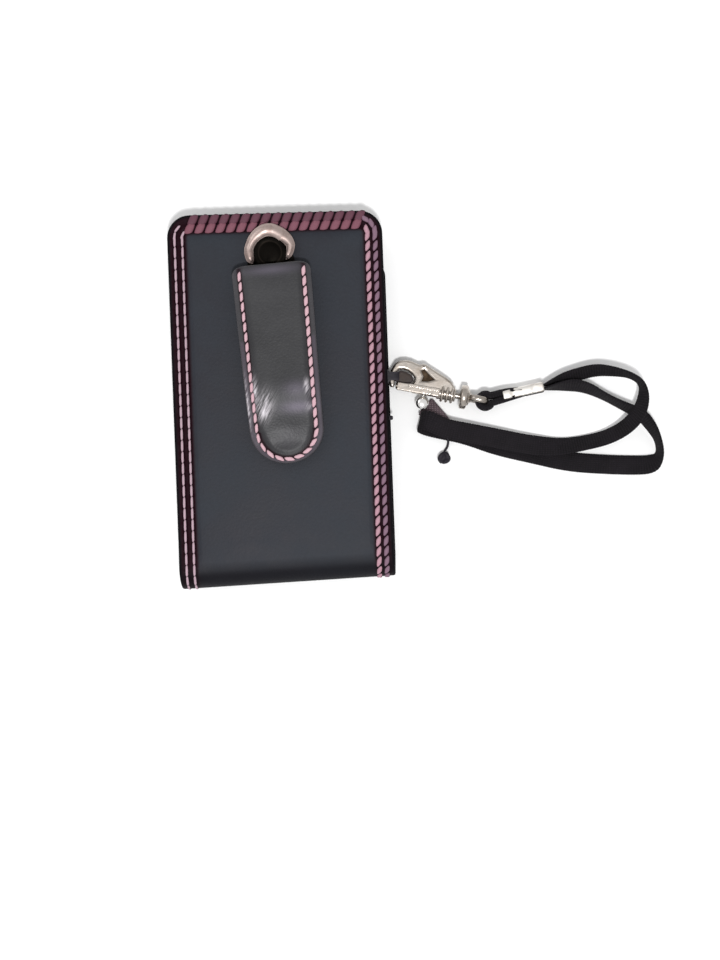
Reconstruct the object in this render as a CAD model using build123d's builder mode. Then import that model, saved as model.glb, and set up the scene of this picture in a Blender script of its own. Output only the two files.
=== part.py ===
"""Belt-clip badge pouch with a swivel clip and a wrist lanyard on a bolt snap.

Millimetres. The pouch lies face down: its front rests on z = 0 and its back, with the belt
clip, faces +Z. +Y is the pouch's mouth, +X the side that carries the lanyard. The origin is
the middle of the pouch's front face.
"""
import math
import os

from build123d import *

os.makedirs("parts", exist_ok=True)

# ---- pouch ----
pouch_width = 75.0
pouch_height = 129.0
pouch_depth = 14.0
leather = 1.4
board = 1.0
lining = 0.6
gusset_cloth = 0.9
seam_band = 5.5
back_top = pouch_height / 2
pouch_bottom = -pouch_height / 2
front_top = 48.0
bend_radius = pouch_depth / 2
bend_y = pouch_bottom + bend_radius
back_corner = 8.0
front_corner = 5.0
back_inner_z = pouch_depth - leather
gusset_wall_x = pouch_width / 2 - seam_band - gusset_cloth / 2
gusset_edge_x = pouch_width / 2 - 0.9
pocket_half_width = gusset_wall_x - 0.2
turn_in = 0.6  # how far the stiffening layers stop short of the leather's edge

# ---- front window ----
window_width = 54.0
window_height = 86.0
window_y = -8.0
window_corner = 4.0
window_lap = 3.0
window_sheet = 0.5
front_board = 0.9
notch_radius = 9.0

# ---- stitching ----
stitch_length = 3.3
stitch_width = 1.9
stitch_rise = 0.7
stitch_pitch = 3.6
stitch_slant = 20.0
outer_row = 2.1
inner_row = 4.7

# ---- swivel stud and belt clip, in the clip's own leaning frame ----
stud_x = -1.8
stud_y = 50.8
clip_lean = 2.8
washer_thickness = 0.8
head_z = pouch_depth + washer_thickness + 0.1
head_plate = 1.0
ring_radius = 8.3
ring_shift = 1.4
ring_bore = 5.95
ring_rise = 1.5
notch_count = 12
stud_post_radius = 4.0
stud_cap_radius = 5.3
rivet_radius = 1.5
rivet_head_radius = 3.0
backing_radius = 5.0
washer_radius = 7.0
pin_y = -12.0
pin_z = 17.7
pin_radius = 0.85
ear_x = 7.1
ear_thickness = 1.2
lug_x = 5.7
lug_thickness = 1.0
hinge_wire = 0.28

# ---- tongue ----
tongue_width = 25.6
tongue_end_width = 23.6
tongue_top_y = -3.5
tongue_tip_y = -71.3
steel_width = 18.0
steel = 1.0
cover = 1.2
underside = 0.9
# Underside of the steel, as (distance along the clip, height).
tongue_curve = [(-4.4, 19.8), (-20, 19.9), (-38, 20.1), (-48, 20.2), (-56, 19.0),
                (-62, 17.3), (-66.5, 16.4), (-70.5, 16.9)]

# ---- bolt snap, in its own frame: x along the swivel axis, y towards the hook ----
snap_x = 63.8
snap_y = -1.45
snap_z = 4.6
snap_turn = -12.5
snap_plate = 3.6
barrel_radius = 1.9
barrel_start = -18.8
ferrule_start = -8.3
ferrule_end = -3.4
ferrule_radius = 2.6
ridge_radius = 3.1
ridge_pitch = 1.5
bolt_radius = 1.25
bolt_bore = 1.3
bolt_tip = -24.6
bolt_rear = -13.4
spring_end = -6.2
knob_at = -14.4
knob_out = -4.7
knob_radius = 2.4
stem_radius = 0.7
bolt_travel = 5.0
limb_at = -26.1
limb_out = 2.9
limb_radius = 1.7
collar_radius = 4.25
eye_half_height = 4.5
eye_end = 8.6
loop_centre = 7.6

# ---- wrist strap ----
crimp_x = 77.2
crimp_y = -1.7
crimp_turn = 9.7
crimp_length = 14.8
crimp_height = 7.4
crimp_z = 3.75
strap_radius = 1.5  # round stand-in with the section area of a 7 x 1 mm flat strap


def turned(x, y, z, degrees):
    """A plane at (x, y, z), turned about Z."""
    angle = math.radians(degrees)
    return Plane(origin=(x, y, z), x_dir=(math.cos(angle), math.sin(angle), 0), z_dir=(0, 0, 1))


def clip_plane(z):
    return turned(stud_x, stud_y, z, clip_lean)


def clip_side(offset=0.0):
    """The clip's lengthwise plane: local x along the clip, local y up."""
    flat = clip_plane(0)
    return Plane(origin=flat.origin + flat.x_dir * offset, x_dir=flat.y_dir, z_dir=flat.x_dir)


def snap_plane(z=0.0):
    return turned(snap_x, snap_y, snap_z + z, snap_turn)


def snap_cross(at):
    """A plane across the snap's axis at a distance along it, facing the swivel end."""
    flat = snap_plane()
    return Plane(origin=flat.origin + flat.x_dir * at, x_dir=flat.y_dir, z_dir=flat.x_dir)


def crimp_plane(z=0.0):
    return turned(crimp_x, crimp_y, crimp_z + z, crimp_turn)


def coiled_wire(pitch, length, radius, wire, centre, direction):
    """A coil of round wire that starts at centre and runs along direction."""
    with BuildPart() as coil:
        with BuildLine() as path:
            Helix(pitch, length, radius, center=centre, direction=direction)
        with BuildSketch(Plane(origin=path.line @ 0, z_dir=path.line % 0)):
            Circle(wire)
        sweep(is_frenet=True)
    return coil


def save(piece, name):
    piece.part.label = name
    export_step(piece.part, f"parts/{name}.step")


# ---- outer leather: one piece that wraps from the back round the bottom to the front ----
with BuildPart() as outer_leather:
    with BuildSketch(Plane.YZ):
        with BuildLine():
            Polyline((bend_y, pouch_depth), (back_top, pouch_depth), (back_top, back_inner_z),
                     (bend_y, back_inner_z))
            ThreePointArc((bend_y, back_inner_z), (pouch_bottom + leather, bend_radius),
                          (bend_y, leather))
            Polyline((bend_y, leather), (front_top, leather), (front_top, 0), (bend_y, 0))
            ThreePointArc((bend_y, 0), (pouch_bottom, bend_radius), (bend_y, pouch_depth))
        make_face()
    extrude(amount=pouch_width / 2, both=True)
    upright = outer_leather.edges().filter_by(Axis.Z)
    fillet(upright.group_by(Axis.Y)[-1], radius=back_corner)
    fillet(outer_leather.edges().filter_by(Axis.Z).filter_by(
        lambda edge: abs(edge.center().Y - front_top) < 0.01), radius=front_corner)
    with BuildSketch():
        with Locations((0, window_y)):
            RectangleRounded(window_width, window_height, window_corner)
        with Locations((0, front_top)):
            Circle(notch_radius)
    extrude(amount=leather, mode=Mode.SUBTRACT)
    # Grooves that the front stitching lies in, so that the front rests flat.
    with BuildSketch():
        for side in (-1, 1):
            for row in (outer_row, inner_row):
                with Locations((side * (pouch_width / 2 - row), (bend_y + front_top) / 2)):
                    SlotOverall(front_top - bend_y - 4, stitch_width + 0.2, rotation=90)
    extrude(amount=stitch_rise, mode=Mode.SUBTRACT)
    with Locations((stud_x, stud_y, pouch_depth)):
        Hole(rivet_radius, depth=leather)
save(outer_leather, "outer_leather")


# ---- back board and lining: narrow inside the pocket, full width above the mouth ----
def back_layer(low, thickness):
    shoulder = front_top + 0.3
    top = back_top - turn_in
    with BuildPart() as layer:
        with BuildSketch(Plane.XY.offset(low)):
            with Locations((0, (bend_y + shoulder) / 2)):
                Rectangle(2 * pocket_half_width, shoulder - bend_y)
        extrude(amount=thickness)
        with BuildSketch(Plane.XY.offset(low)):
            with Locations((0, (shoulder + top) / 2)):
                Rectangle(pouch_width - 2 * turn_in, top - shoulder)
        extrude(amount=thickness)
        corners = layer.edges().filter_by(Axis.Z).group_by(Axis.Y)[-1]
        fillet(corners, radius=back_corner - turn_in)
        with Locations((stud_x, stud_y, low + thickness)):
            Hole(rivet_radius, depth=thickness)
    return layer


back_board_low = back_inner_z - board
back_lining_low = back_board_low - lining
save(back_layer(back_board_low, board), "back_board")
save(back_layer(back_lining_low, lining), "back_lining")


# ---- front board and lining: frames round the window ----
def front_layer(low, thickness, opening_width, opening_height):
    top = front_top - 1.5
    with BuildPart() as layer:
        with BuildSketch(Plane.XY.offset(low)):
            with Locations((0, (bend_y + top) / 2)):
                Rectangle(2 * pocket_half_width, top - bend_y)
            with Locations((0, window_y)):
                RectangleRounded(opening_width, opening_height, window_corner, mode=Mode.SUBTRACT)
            with Locations((0, front_top)):
                Circle(notch_radius + turn_in, mode=Mode.SUBTRACT)
        extrude(amount=thickness)
    return layer


sheet_width = window_width + 2 * window_lap
sheet_height = window_height + 2 * window_lap - 1.6
front_lining_low = leather + front_board
save(front_layer(leather, front_board, sheet_width + 0.3, sheet_height + 0.3), "front_board")
save(front_layer(front_lining_low, lining, window_width + 2, window_height + 2), "front_lining")

# ---- clear window ----
with BuildPart() as clear_window:
    with BuildSketch(Plane.XY.offset(leather)):
        with Locations((0, window_y)):
            RectangleRounded(sheet_width, sheet_height, window_corner)
    extrude(amount=window_sheet)
save(clear_window, "clear_window")


# ---- gussets: a side wall with a flange that is sewn to the leather all the way round ----
def inside_outline(margin, top):
    """The pocket's side outline, inside the leather by a margin."""
    high = back_inner_z - margin
    low = leather + margin
    with BuildLine(mode=Mode.PRIVATE) as outline:
        Polyline((bend_y, low), (top, low), (top, high), (bend_y, high))
        ThreePointArc((bend_y, high), (pouch_bottom + leather + margin, bend_radius), (bend_y, low))
    return outline.edges()


def gusset(side):
    with BuildPart() as piece:
        with BuildSketch(Plane.YZ.offset(side * gusset_wall_x)):
            make_face(inside_outline(0, front_top))
        extrude(amount=side * (gusset_edge_x - gusset_wall_x))
        with BuildSketch(Plane.YZ.offset(side * (gusset_wall_x + gusset_cloth))):
            make_face(inside_outline(gusset_cloth, front_top + 5))
        extrude(amount=side * seam_band, mode=Mode.SUBTRACT)
    return piece


save(gusset(-1), "left_gusset")
save(gusset(1), "right_gusset")


# ---- stitching on the pouch ----
def edge_row(inset):
    """Places of the stitches along the left, top and right edges, as (x, y, heading)."""
    x = pouch_width / 2 - inset
    y = back_top - inset
    corner = back_corner - inset
    side_length = y - corner - bend_y
    arc_length = corner * math.pi / 2
    top_length = 2 * (x - corner)
    total = 2 * side_length + 2 * arc_length + top_length
    count = round(total / stitch_pitch)
    places = []
    for index in range(count):
        run = (index + 0.5) * total / count
        mirrored = run > total / 2
        if mirrored:
            run = total - run
        if run < side_length:
            px, py, heading = -x, bend_y + run, 90.0
        elif run < side_length + arc_length:
            turn = (run - side_length) / corner
            px = -x + corner - corner * math.cos(turn)
            py = y - corner + corner * math.sin(turn)
            heading = 90.0 - math.degrees(turn)
        else:
            px, py, heading = -x + corner + run - side_length - arc_length, y, 0.0
        places.append((-px, py, -heading) if mirrored else (px, py, heading))
    return places


def back_stitches(inset):
    with BuildPart() as row:
        with BuildSketch(Plane.XY.offset(pouch_depth)):
            for x, y, heading in edge_row(inset):
                with Locations((x, y)):
                    SlotOverall(stitch_length, stitch_width, rotation=heading + stitch_slant)
        extrude(amount=stitch_rise)
    return row


save(back_stitches(outer_row), "back_stitching_outer")
save(back_stitches(inner_row), "back_stitching_inner")

with BuildPart() as front_stitching:
    row_length = front_top - bend_y - 8
    row_count = int(row_length / stitch_pitch)
    with BuildSketch():
        for side in (-1, 1):
            for inset in (outer_row, inner_row):
                with Locations((side * (pouch_width / 2 - inset), (bend_y + front_top) / 2)):
                    with GridLocations(1, stitch_pitch, 1, row_count):
                        SlotOverall(stitch_length, stitch_width - 0.5, rotation=90)
    extrude(amount=stitch_rise - 0.05)
save(front_stitching, "front_stitching")

# ---- side tab: a leather strap folded round the hook of the snap ----
limb = snap_plane().from_local_coords(Vector(limb_at, limb_out, 0))
tab_root_x = gusset_wall_x + gusset_cloth
tab_inner_radius = 1.9
tab_outer_radius = 2.7
tab_root_width = 9.6
tab_neck_width = 2.6
tab_end_x = limb.X + 3.2
limb_margin = 0.8
tab_shoulder_x = pouch_width / 2 - 2.4
tab_neck_x = limb.X - 2.7
hook_heading = snap_plane().y_dir
tab_side = Plane(origin=(limb.X, limb.Y, snap_z), x_dir=hook_heading.cross(Vector(0, 0, 1)),
                 z_dir=-hook_heading)
root = tab_root_x - limb.X
with BuildPart() as side_tab:
    with BuildSketch(tab_side):
        with BuildLine():
            CenterArc((0, 0), tab_outer_radius, 0, 360)
            Polyline((root - 2, 0.5), (root + 0.4, 0.5), (root + 0.4, 2.1), (root - 2, 2.1), close=True)
        make_hull()
    extrude(amount=12, both=True)
    with BuildSketch(tab_side):
        with BuildLine():
            CenterArc((0, 0), tab_inner_radius, 0, 360)
            Polyline((root + 2.2, 1.1), (root + 2.4, 1.1), (root + 2.4, 1.4), (root + 2.2, 1.4),
                     close=True)
        make_hull()
    extrude(amount=13, both=True, mode=Mode.SUBTRACT)
    with BuildSketch():
        with BuildLine():
            Polyline((tab_root_x, limb.Y + tab_root_width / 2),
                     (tab_root_x, limb.Y - tab_root_width / 2),
                     (tab_shoulder_x, limb.Y - tab_root_width / 2),
                     (tab_neck_x, limb.Y - tab_neck_width / 2),
                     (tab_end_x, limb.Y - tab_neck_width / 2),
                     (tab_end_x, limb.Y + tab_neck_width / 2),
                     (tab_neck_x, limb.Y + tab_neck_width / 2),
                     (tab_shoulder_x, limb.Y + tab_root_width / 2), close=True)
        make_face()
    extrude(amount=pouch_depth, mode=Mode.INTERSECT)
save(side_tab, "side_tab")

# ---- swivel stud: rivet, backing washer, friction washer and cap ----
backing_thickness = 0.6
rivet_head = 0.6
with BuildPart() as stud_rivet:
    with BuildSketch(clip_plane(pouch_depth)):
        Circle(stud_post_radius)
    extrude(amount=head_z + head_plate + 0.1 - pouch_depth)
    with BuildSketch(clip_plane(back_lining_low - backing_thickness)):
        Circle(rivet_radius)
    extrude(amount=pouch_depth - back_lining_low + backing_thickness)
    with BuildSketch(clip_plane(back_lining_low - backing_thickness - rivet_head)):
        Circle(rivet_head_radius)
    extrude(amount=rivet_head)
save(stud_rivet, "stud_rivet")

with BuildPart() as backing_washer:
    with BuildSketch(clip_plane(back_lining_low - backing_thickness)):
        Circle(backing_radius)
        Circle(rivet_radius, mode=Mode.SUBTRACT)
    extrude(amount=backing_thickness)
save(backing_washer, "backing_washer")

with BuildPart() as friction_washer:
    with BuildSketch(clip_plane(pouch_depth)):
        Circle(washer_radius)
        Circle(stud_post_radius, mode=Mode.SUBTRACT)
    extrude(amount=washer_thickness)
save(friction_washer, "friction_washer")

cap_z = head_z + head_plate + 0.1
with BuildPart() as stud_cap:
    with BuildSketch(clip_plane(cap_z)):
        Circle(stud_cap_radius)
    extrude(amount=1.2)
    fillet(stud_cap.faces().sort_by(Axis.Z)[-1].edges(), radius=0.5)
save(stud_cap, "stud_cap")

# ---- clip head: ring with ratchet notches, base plate and two hinge ears ----
ring_z = head_z + head_plate
with BuildPart() as clip_head:
    with BuildSketch(clip_plane(head_z)):
        with Locations((0, ring_shift)):
            Circle(ring_radius)
        with Locations((0, -11)):
            RectangleRounded(16.6, 22, 3)
        Circle(stud_post_radius + 0.05, mode=Mode.SUBTRACT)
    extrude(amount=head_plate)
    with BuildSketch(clip_plane(ring_z)):
        with Locations((0, ring_shift)):
            Circle(ring_radius)
        Circle(ring_bore, mode=Mode.SUBTRACT)
        with PolarLocations(ring_bore, notch_count, start_angle=90):
            Circle(0.5, mode=Mode.SUBTRACT)
    extrude(amount=ring_rise)
    rim = clip_head.faces().sort_by(Axis.Z)[-1].outer_wire().edges()
    fillet(rim, radius=0.6)
    for side in (-1, 1):
        with BuildSketch(clip_side(side * ear_x)):
            with Locations((pin_y, pin_z)):
                Circle(1.7)
            with Locations((pin_y, (ring_z + pin_z) / 2)):
                Rectangle(3.4, pin_z - ring_z)
            with Locations((pin_y, pin_z)):
                Circle(pin_radius, mode=Mode.SUBTRACT)
        extrude(amount=ear_thickness / 2, both=True)
save(clip_head, "clip_head")

with BuildPart() as hinge_pin:
    with BuildSketch(clip_side()):
        with Locations((pin_y, pin_z)):
            Circle(pin_radius)
    extrude(amount=ear_x + 1.0, both=True)
save(hinge_pin, "hinge_pin")

# ---- torsion spring on the pin; its legs push the tongue's short end away from the base ----
coil_radius = 1.4
coil_pitch = 0.75
coil_turns = 6
coil_length = coil_pitch * coil_turns
leg_length = 3.6
coil_plane = clip_side(-coil_length / 2)
coil_centre = coil_plane.from_local_coords(Vector(pin_y, pin_z, 0))
with BuildPart() as torsion_spring:
    coil = coiled_wire(coil_pitch, coil_length, coil_radius, hinge_wire, coil_centre,
                       coil_plane.z_dir)
    add(coil.part)
    for height, across in ((-coil_radius, 0), (coil_radius, coil_length)):
        leg_start = coil_plane.from_local_coords(Vector(pin_y, pin_z + height, across))
        with BuildSketch(Plane(origin=leg_start, z_dir=coil_plane.x_dir)):
            Circle(hinge_wire)
        extrude(amount=leg_length)
save(torsion_spring, "torsion_spring")


# ---- tongue: sprung steel between two leathers ----
def tongue_layer(low, high, width, end_width, top_y, tip_y):
    """A layer that follows the tongue's curve between two heights over the steel's underside."""
    lower = [(y, z + low) for y, z in tongue_curve]
    upper = [(y, z + high) for y, z in tongue_curve]
    head = tongue_top_y + 1
    tail = tongue_tip_y - 1
    end_radius = end_width / 2 - 0.3
    with BuildPart() as layer:
        with BuildSketch(clip_side()):
            with BuildLine():
                Spline(*lower)
                Polyline(lower[-1], (tail, lower[-1][1]), (tail, upper[-1][1]), upper[-1])
                Spline(*upper)
                Polyline(upper[0], (head, upper[0][1]), (head, lower[0][1]), lower[0])
            make_face()
        extrude(amount=width, both=True)
        with BuildSketch(clip_plane(0)):
            with BuildLine():
                straight_end = tip_y + end_radius
                Line((-width / 2, top_y), (-end_width / 2, straight_end))
                ThreePointArc((-end_width / 2, straight_end), (0, tip_y), (end_width / 2, straight_end))
                Line((end_width / 2, straight_end), (width / 2, top_y))
                Line((width / 2, top_y), (-width / 2, top_y))
            make_face()
        extrude(amount=40, mode=Mode.INTERSECT)
    return layer


steel_inset = (tongue_width - steel_width) / 2
with BuildPart() as tongue_plate:
    add(tongue_layer(0, steel, steel_width, steel_width - 1.6, tongue_top_y - 0.9,
                     tongue_tip_y + steel_inset).part)
    for side in (-1, 1):
        with BuildSketch(clip_side(side * lug_x)):
            with Locations((pin_y, pin_z)):
                Circle(1.2)
            with Locations((pin_y, (pin_z + tongue_curve[0][1] + 0.4) / 2)):
                Rectangle(2.4, tongue_curve[0][1] + 0.4 - pin_z)
            with Locations((pin_y, pin_z)):
                Circle(pin_radius + 0.05, mode=Mode.SUBTRACT)
        extrude(amount=lug_thickness / 2, both=True)
save(tongue_plate, "tongue_plate")

save(tongue_layer(steel, steel + cover, tongue_width, tongue_end_width, tongue_top_y, tongue_tip_y),
     "tongue_cover")

under_top = pin_y - 3.5
with BuildPart() as tongue_lining:
    add(tongue_layer(-underside, 0, tongue_width, tongue_end_width, tongue_top_y, tongue_tip_y).part)
    with BuildSketch(clip_plane(0)):
        with Locations((0, under_top + 20)):
            Rectangle(2 * tongue_width, 40)
    extrude(amount=40, mode=Mode.SUBTRACT)
save(tongue_lining, "tongue_lining")


def tongue_row(inset):
    """Places of the stitches down one side of the tongue, round its end and up the other."""
    half = tongue_width / 2 - inset
    half_end = tongue_end_width / 2 - inset
    arc_y = tongue_tip_y + tongue_end_width / 2
    side_length = tongue_top_y - arc_y - 1.5
    arc_length = math.pi * half_end
    total = 2 * side_length + arc_length
    count = round(total / stitch_pitch)
    places = []
    for index in range(count):
        run = (index + 0.5) * total / count
        mirrored = run > total / 2
        if mirrored:
            run = total - run
        if run < side_length:
            part_way = run / side_length
            x, y, heading = -half + (half - half_end) * part_way, tongue_top_y - 1.5 - run, -90.0
        else:
            turn = (run - side_length) / half_end
            x, y = -half_end * math.cos(turn), arc_y - half_end * math.sin(turn)
            heading = -90.0 + math.degrees(turn)
        places.append((-x, y, -heading) if mirrored else (x, y, heading))
    return places


with BuildPart() as tongue_stitching:
    add(tongue_layer(steel + cover, steel + cover + 0.6, tongue_width, tongue_end_width,
                     tongue_top_y, tongue_tip_y).part)
    with BuildSketch(clip_plane(0)):
        for x, y, heading in tongue_row(2.3):
            with Locations((x, y)):
                SlotOverall(3.1, 1.5, rotation=heading + stitch_slant)
    extrude(amount=40, mode=Mode.INTERSECT)
save(tongue_stitching, "tongue_stitching")

# ---- snap body: die-cast hook, rib, barrel and ferrule in one ----
with BuildPart() as snap_body:
    with BuildSketch(snap_plane(-snap_plate / 2)):
        with BuildLine():
            Spline((-25.4, -1.7), (-27.3, 0.2), (-27.8, 3.1), (-26.0, 7.1), (-22.4, 8.9), (-17.0, 8.5))
            Polyline((-17.0, 8.5), (-5.9, 4.2), (-3.9, 2.2), (-3.9, -0.8), (barrel_start, -0.8),
                     (barrel_start, 3.6))
            ThreePointArc((barrel_start, 3.6), (-19.3, 4.75), (-20.4, 5.2))
            Line((-20.4, 5.2), (-23.4, 5.2))
            ThreePointArc((-23.4, 5.2), (-24.1, 4.9), (-24.35, 4.2))
            Polyline((-24.35, 4.2), (-24.7, 1.4), (-24.7, -1.7), (-25.4, -1.7))
        make_face()
        with BuildLine():
            Polyline((-16.3, 6.3), (-16.0, 2.7), (-10.0, 2.7), close=True)
        make_face(mode=Mode.SUBTRACT)
    extrude(amount=snap_plate)
    # The hook is turned round where the tab holds it.
    with BuildSketch(tab_side.offset(-tab_neck_width / 2 - limb_margin)):
        with Locations((-0.3, 0)):
            Rectangle(5.4, 6)
        Circle(limb_radius, mode=Mode.SUBTRACT)
    extrude(amount=tab_neck_width + 2 * limb_margin, mode=Mode.SUBTRACT)
    with BuildSketch(snap_cross(barrel_start)):
        Circle(barrel_radius)
    extrude(amount=ferrule_end - barrel_start)
    with BuildSketch(snap_cross(ferrule_start)):
        Circle(ferrule_radius)
    extrude(amount=ferrule_end - ferrule_start)
    for ridge in range(3):
        with BuildSketch(snap_cross(ferrule_start + 0.9 + ridge_pitch * ridge)):
            Circle(ridge_radius)
        extrude(amount=ridge_pitch / 2)
    with BuildSketch(snap_cross(barrel_start - 1)):
        Circle(bolt_bore)
    extrude(amount=spring_end - barrel_start + 1, mode=Mode.SUBTRACT)
    with BuildSketch(snap_cross(-5.6)):
        Circle(1.7)
    extrude(amount=1.2, mode=Mode.SUBTRACT)
    with BuildSketch(snap_cross(-4.5)):
        Circle(1.0)
    extrude(amount=2, mode=Mode.SUBTRACT)
    # Slot that the knob's stem slides in.
    slot_start = knob_at - stem_radius - 0.2
    slot_end = knob_at + bolt_travel + stem_radius + 0.2
    with BuildSketch(snap_plane(-0.8)):
        with Locations(((slot_start + slot_end) / 2, -2.5)):
            Rectangle(slot_end - slot_start, 5)
    extrude(amount=1.6, mode=Mode.SUBTRACT)
save(snap_body, "snap_body")

# ---- spring bolt, its knob and its coil spring ----
with BuildPart() as spring_bolt:
    with BuildSketch(snap_cross(bolt_tip)):
        Circle(bolt_radius)
    extrude(amount=bolt_rear - bolt_tip)
    chamfer(spring_bolt.edges().sort_by(Axis.X)[0], length=0.3)
save(spring_bolt, "spring_bolt")

knob_side = snap_plane().from_local_coords(Vector(knob_at, -bolt_radius, 0))
with BuildPart() as bolt_knob:
    with BuildSketch(Plane(origin=knob_side, x_dir=snap_plane().x_dir, z_dir=-snap_plane().y_dir)):
        Circle(stem_radius)
    extrude(amount=-knob_out - bolt_radius)
    with BuildSketch(snap_plane(-1.7)):
        with Locations((knob_at, knob_out)):
            Circle(knob_radius)
    extrude(amount=3.4)
    fillet(bolt_knob.faces().filter_by(Axis.Z).edges(), radius=1.2)
save(bolt_knob, "bolt_knob")

spring_wire = 0.2
spring_coil = 0.95
spring_turns = 7
spring_gap = spring_wire + 0.05
spring_length = spring_end - bolt_rear - 2 * spring_gap
spring_base = snap_cross(bolt_rear + spring_gap)
bolt_spring = coiled_wire(spring_length / spring_turns, spring_length, spring_coil, spring_wire,
                          spring_base.origin, spring_base.z_dir)
save(bolt_spring, "bolt_spring")

# ---- swivel eye: riveted shank, collar and upright eye ----
eye_thickness = 1.7
with BuildPart() as swivel_eye:
    for start, end, radius in ((-5.45, -4.6, 1.5), (-4.6, -1.3, 0.95), (-1.3, 1.3, collar_radius)):
        with BuildSketch(snap_cross(start)):
            Circle(radius)
        extrude(amount=end - start)
    chamfer(swivel_eye.edges().filter_by(GeomType.CIRCLE).filter_by(
        lambda edge: edge.radius > collar_radius - 0.01), length=0.5)
    flat = snap_plane()
    with BuildSketch(Plane(origin=flat.origin, x_dir=flat.x_dir, z_dir=-flat.y_dir)):
        with Locations((eye_end / 2, 0)):
            RectangleRounded(eye_end, 2 * eye_half_height, 2.4)
        with Locations((5.0, 0)):
            RectangleRounded(4.2, 2 * (eye_half_height - 1.2), 1.2, mode=Mode.SUBTRACT)
    extrude(amount=eye_thickness / 2, both=True)
save(swivel_eye, "swivel_eye")

# ---- webbing loop through the eye, with its ends held in the crimp ----
web_height = 6.2
mouth = snap_plane().to_local_coords(crimp_plane(snap_z - crimp_z).origin)
crimp_heading = math.radians(crimp_turn - snap_turn)
mouth_across = Vector(-math.sin(crimp_heading), math.cos(crimp_heading), 0)
web_half = 1.15
with BuildPart() as strap_eye_loop:
    with BuildSketch(snap_plane(-web_height / 2)):
        with BuildLine():
            CenterArc((loop_centre, 0), 4.0, 0, 360)
            Line(tuple(mouth + mouth_across * web_half), tuple(mouth - mouth_across * web_half))
        make_hull()
    extrude(amount=web_height)
    with BuildSketch(snap_plane(-web_height / 2)):
        with BuildLine():
            CenterArc((loop_centre, 0), 2.7, 0, 360)
            Line(tuple(mouth * 0.86 + mouth_across * 0.1), tuple(mouth * 0.86 - mouth_across * 0.1))
        make_hull()
    extrude(amount=web_height, mode=Mode.SUBTRACT)
    with BuildSketch(crimp_plane(-web_height / 2 + snap_z - crimp_z)):
        with Locations((crimp_length / 4, 0)):
            Rectangle(crimp_length / 2, 2 * web_half)
    extrude(amount=web_height - 0.85)
save(strap_eye_loop, "strap_eye_loop")

# ---- crimp: a folded metal channel, open along one side ----
crimp_wall = 0.5
with BuildPart() as strap_crimp:
    with BuildSketch(crimp_plane(-crimp_height / 2)):
        with Locations((crimp_length / 2, 0.3)):
            Rectangle(crimp_length, 2.9)
    extrude(amount=crimp_height)
    fillet(strap_crimp.edges().filter_by(GeomType.LINE).filter_by(
        lambda edge: edge.length > crimp_length - 0.1).sort_by(Axis.Y)[2:], radius=0.45)
    with BuildSketch(crimp_plane(-crimp_height / 2 + crimp_wall)):
        with Locations((crimp_length / 2, -0.2)):
            Rectangle(crimp_length + 1, 2.9)
    extrude(amount=crimp_height - 2 * crimp_wall, mode=Mode.SUBTRACT)
save(strap_crimp, "strap_crimp")

# ---- wrist strap: one loop from the crimp's mouth and back ----
low = strap_radius + 0.05
over = low + 2 * strap_radius + 0.7
crimp_mouth = crimp_plane().from_local_coords(Vector(crimp_length, 0, 0))
strap_route = [
    (crimp_mouth.X, crimp_mouth.Y, 5.45),
    (98.5, 3.4, 5.45),
    (105.5, 6.0, 3.6),
    (112.5, 6.4, low),
    (119.5, 5.2, low),
    (125.8, 2.4, low),
    (129.4, -2.0, 3.2),
    (128.6, -7.0, over),
    (124.6, -12.2, over),
    (118.2, -16.0, 3.2),
    (107.6, -19.2, low),
    (93.0, -20.6, 2.4),
    (78.0, -17.6, over),
    (65.0, -14.0, over),
    (56.5, -12.0, 7.4),
    (50.2, -10.6, 9.4),
    (47.2, -9.9, 5.4),
    (49.6, -10.4, low),
    (57.0, -12.0, low),
    (66.0, -14.6, low),
    (79.0, -20.0, low),
    (93.5, -24.8, low),
    (108.5, -27.2, low),
    (122.0, -28.8, low),
    (130.4, -28.4, low),
    (133.2, -23.0, low),
    (131.4, -16.4, low),
    (126.8, -11.0, low),
    (119.6, -6.2, low),
    (111.0, -1.8, low),
    (101.6, 0.6, low),
    (crimp_mouth.X, crimp_mouth.Y, 1.9),
]


def bend_radii(points):
    """Radius of the arc at each inner point: 0.45 of the shorter run over tan(half the turn)."""
    corners = [Vector(*point) for point in points]
    radii = []
    for before, corner, after in zip(corners, corners[1:], corners[2:]):
        run_in = corner - before
        run_out = after - corner
        half_turn = math.radians(run_in.get_angle(run_out)) / 2
        radii.append(0.45 * min(run_in.length, run_out.length) / math.tan(half_turn))
    return radii


radii = bend_radii(strap_route)
print("strap radii", [round(radius, 1) for radius in radii])
with BuildPart() as wrist_strap:
    with BuildLine() as strap_line:
        FilletPolyline(*strap_route, radius=radii)
    first_run = Vector(*strap_route[1]) - Vector(*strap_route[0])
    with BuildSketch(Plane(origin=strap_route[0], z_dir=first_run)):
        Circle(strap_radius)
    sweep()
strap_length = sum(edge.length for edge in strap_line.edges())
section = math.pi * strap_radius**2
print("strap length", round(strap_length, 1), "volume", round(wrist_strap.part.volume, 1),
      "section x length", round(section * strap_length, 1))
save(wrist_strap, "wrist_strap")

# The strap's two ends, pressed flat side by side in the crimp.
pressed_pair = 2.25
with BuildPart() as strap_ends:
    with BuildSketch(crimp_plane(-crimp_height / 2 + crimp_wall + 0.1)):
        with Locations((crimp_length * 0.75 + 0.05, 0)):
            Rectangle(crimp_length / 2 - 0.1, pressed_pair)
    extrude(amount=crimp_height - 2 * crimp_wall - 0.2)
save(strap_ends, "strap_ends")

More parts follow.
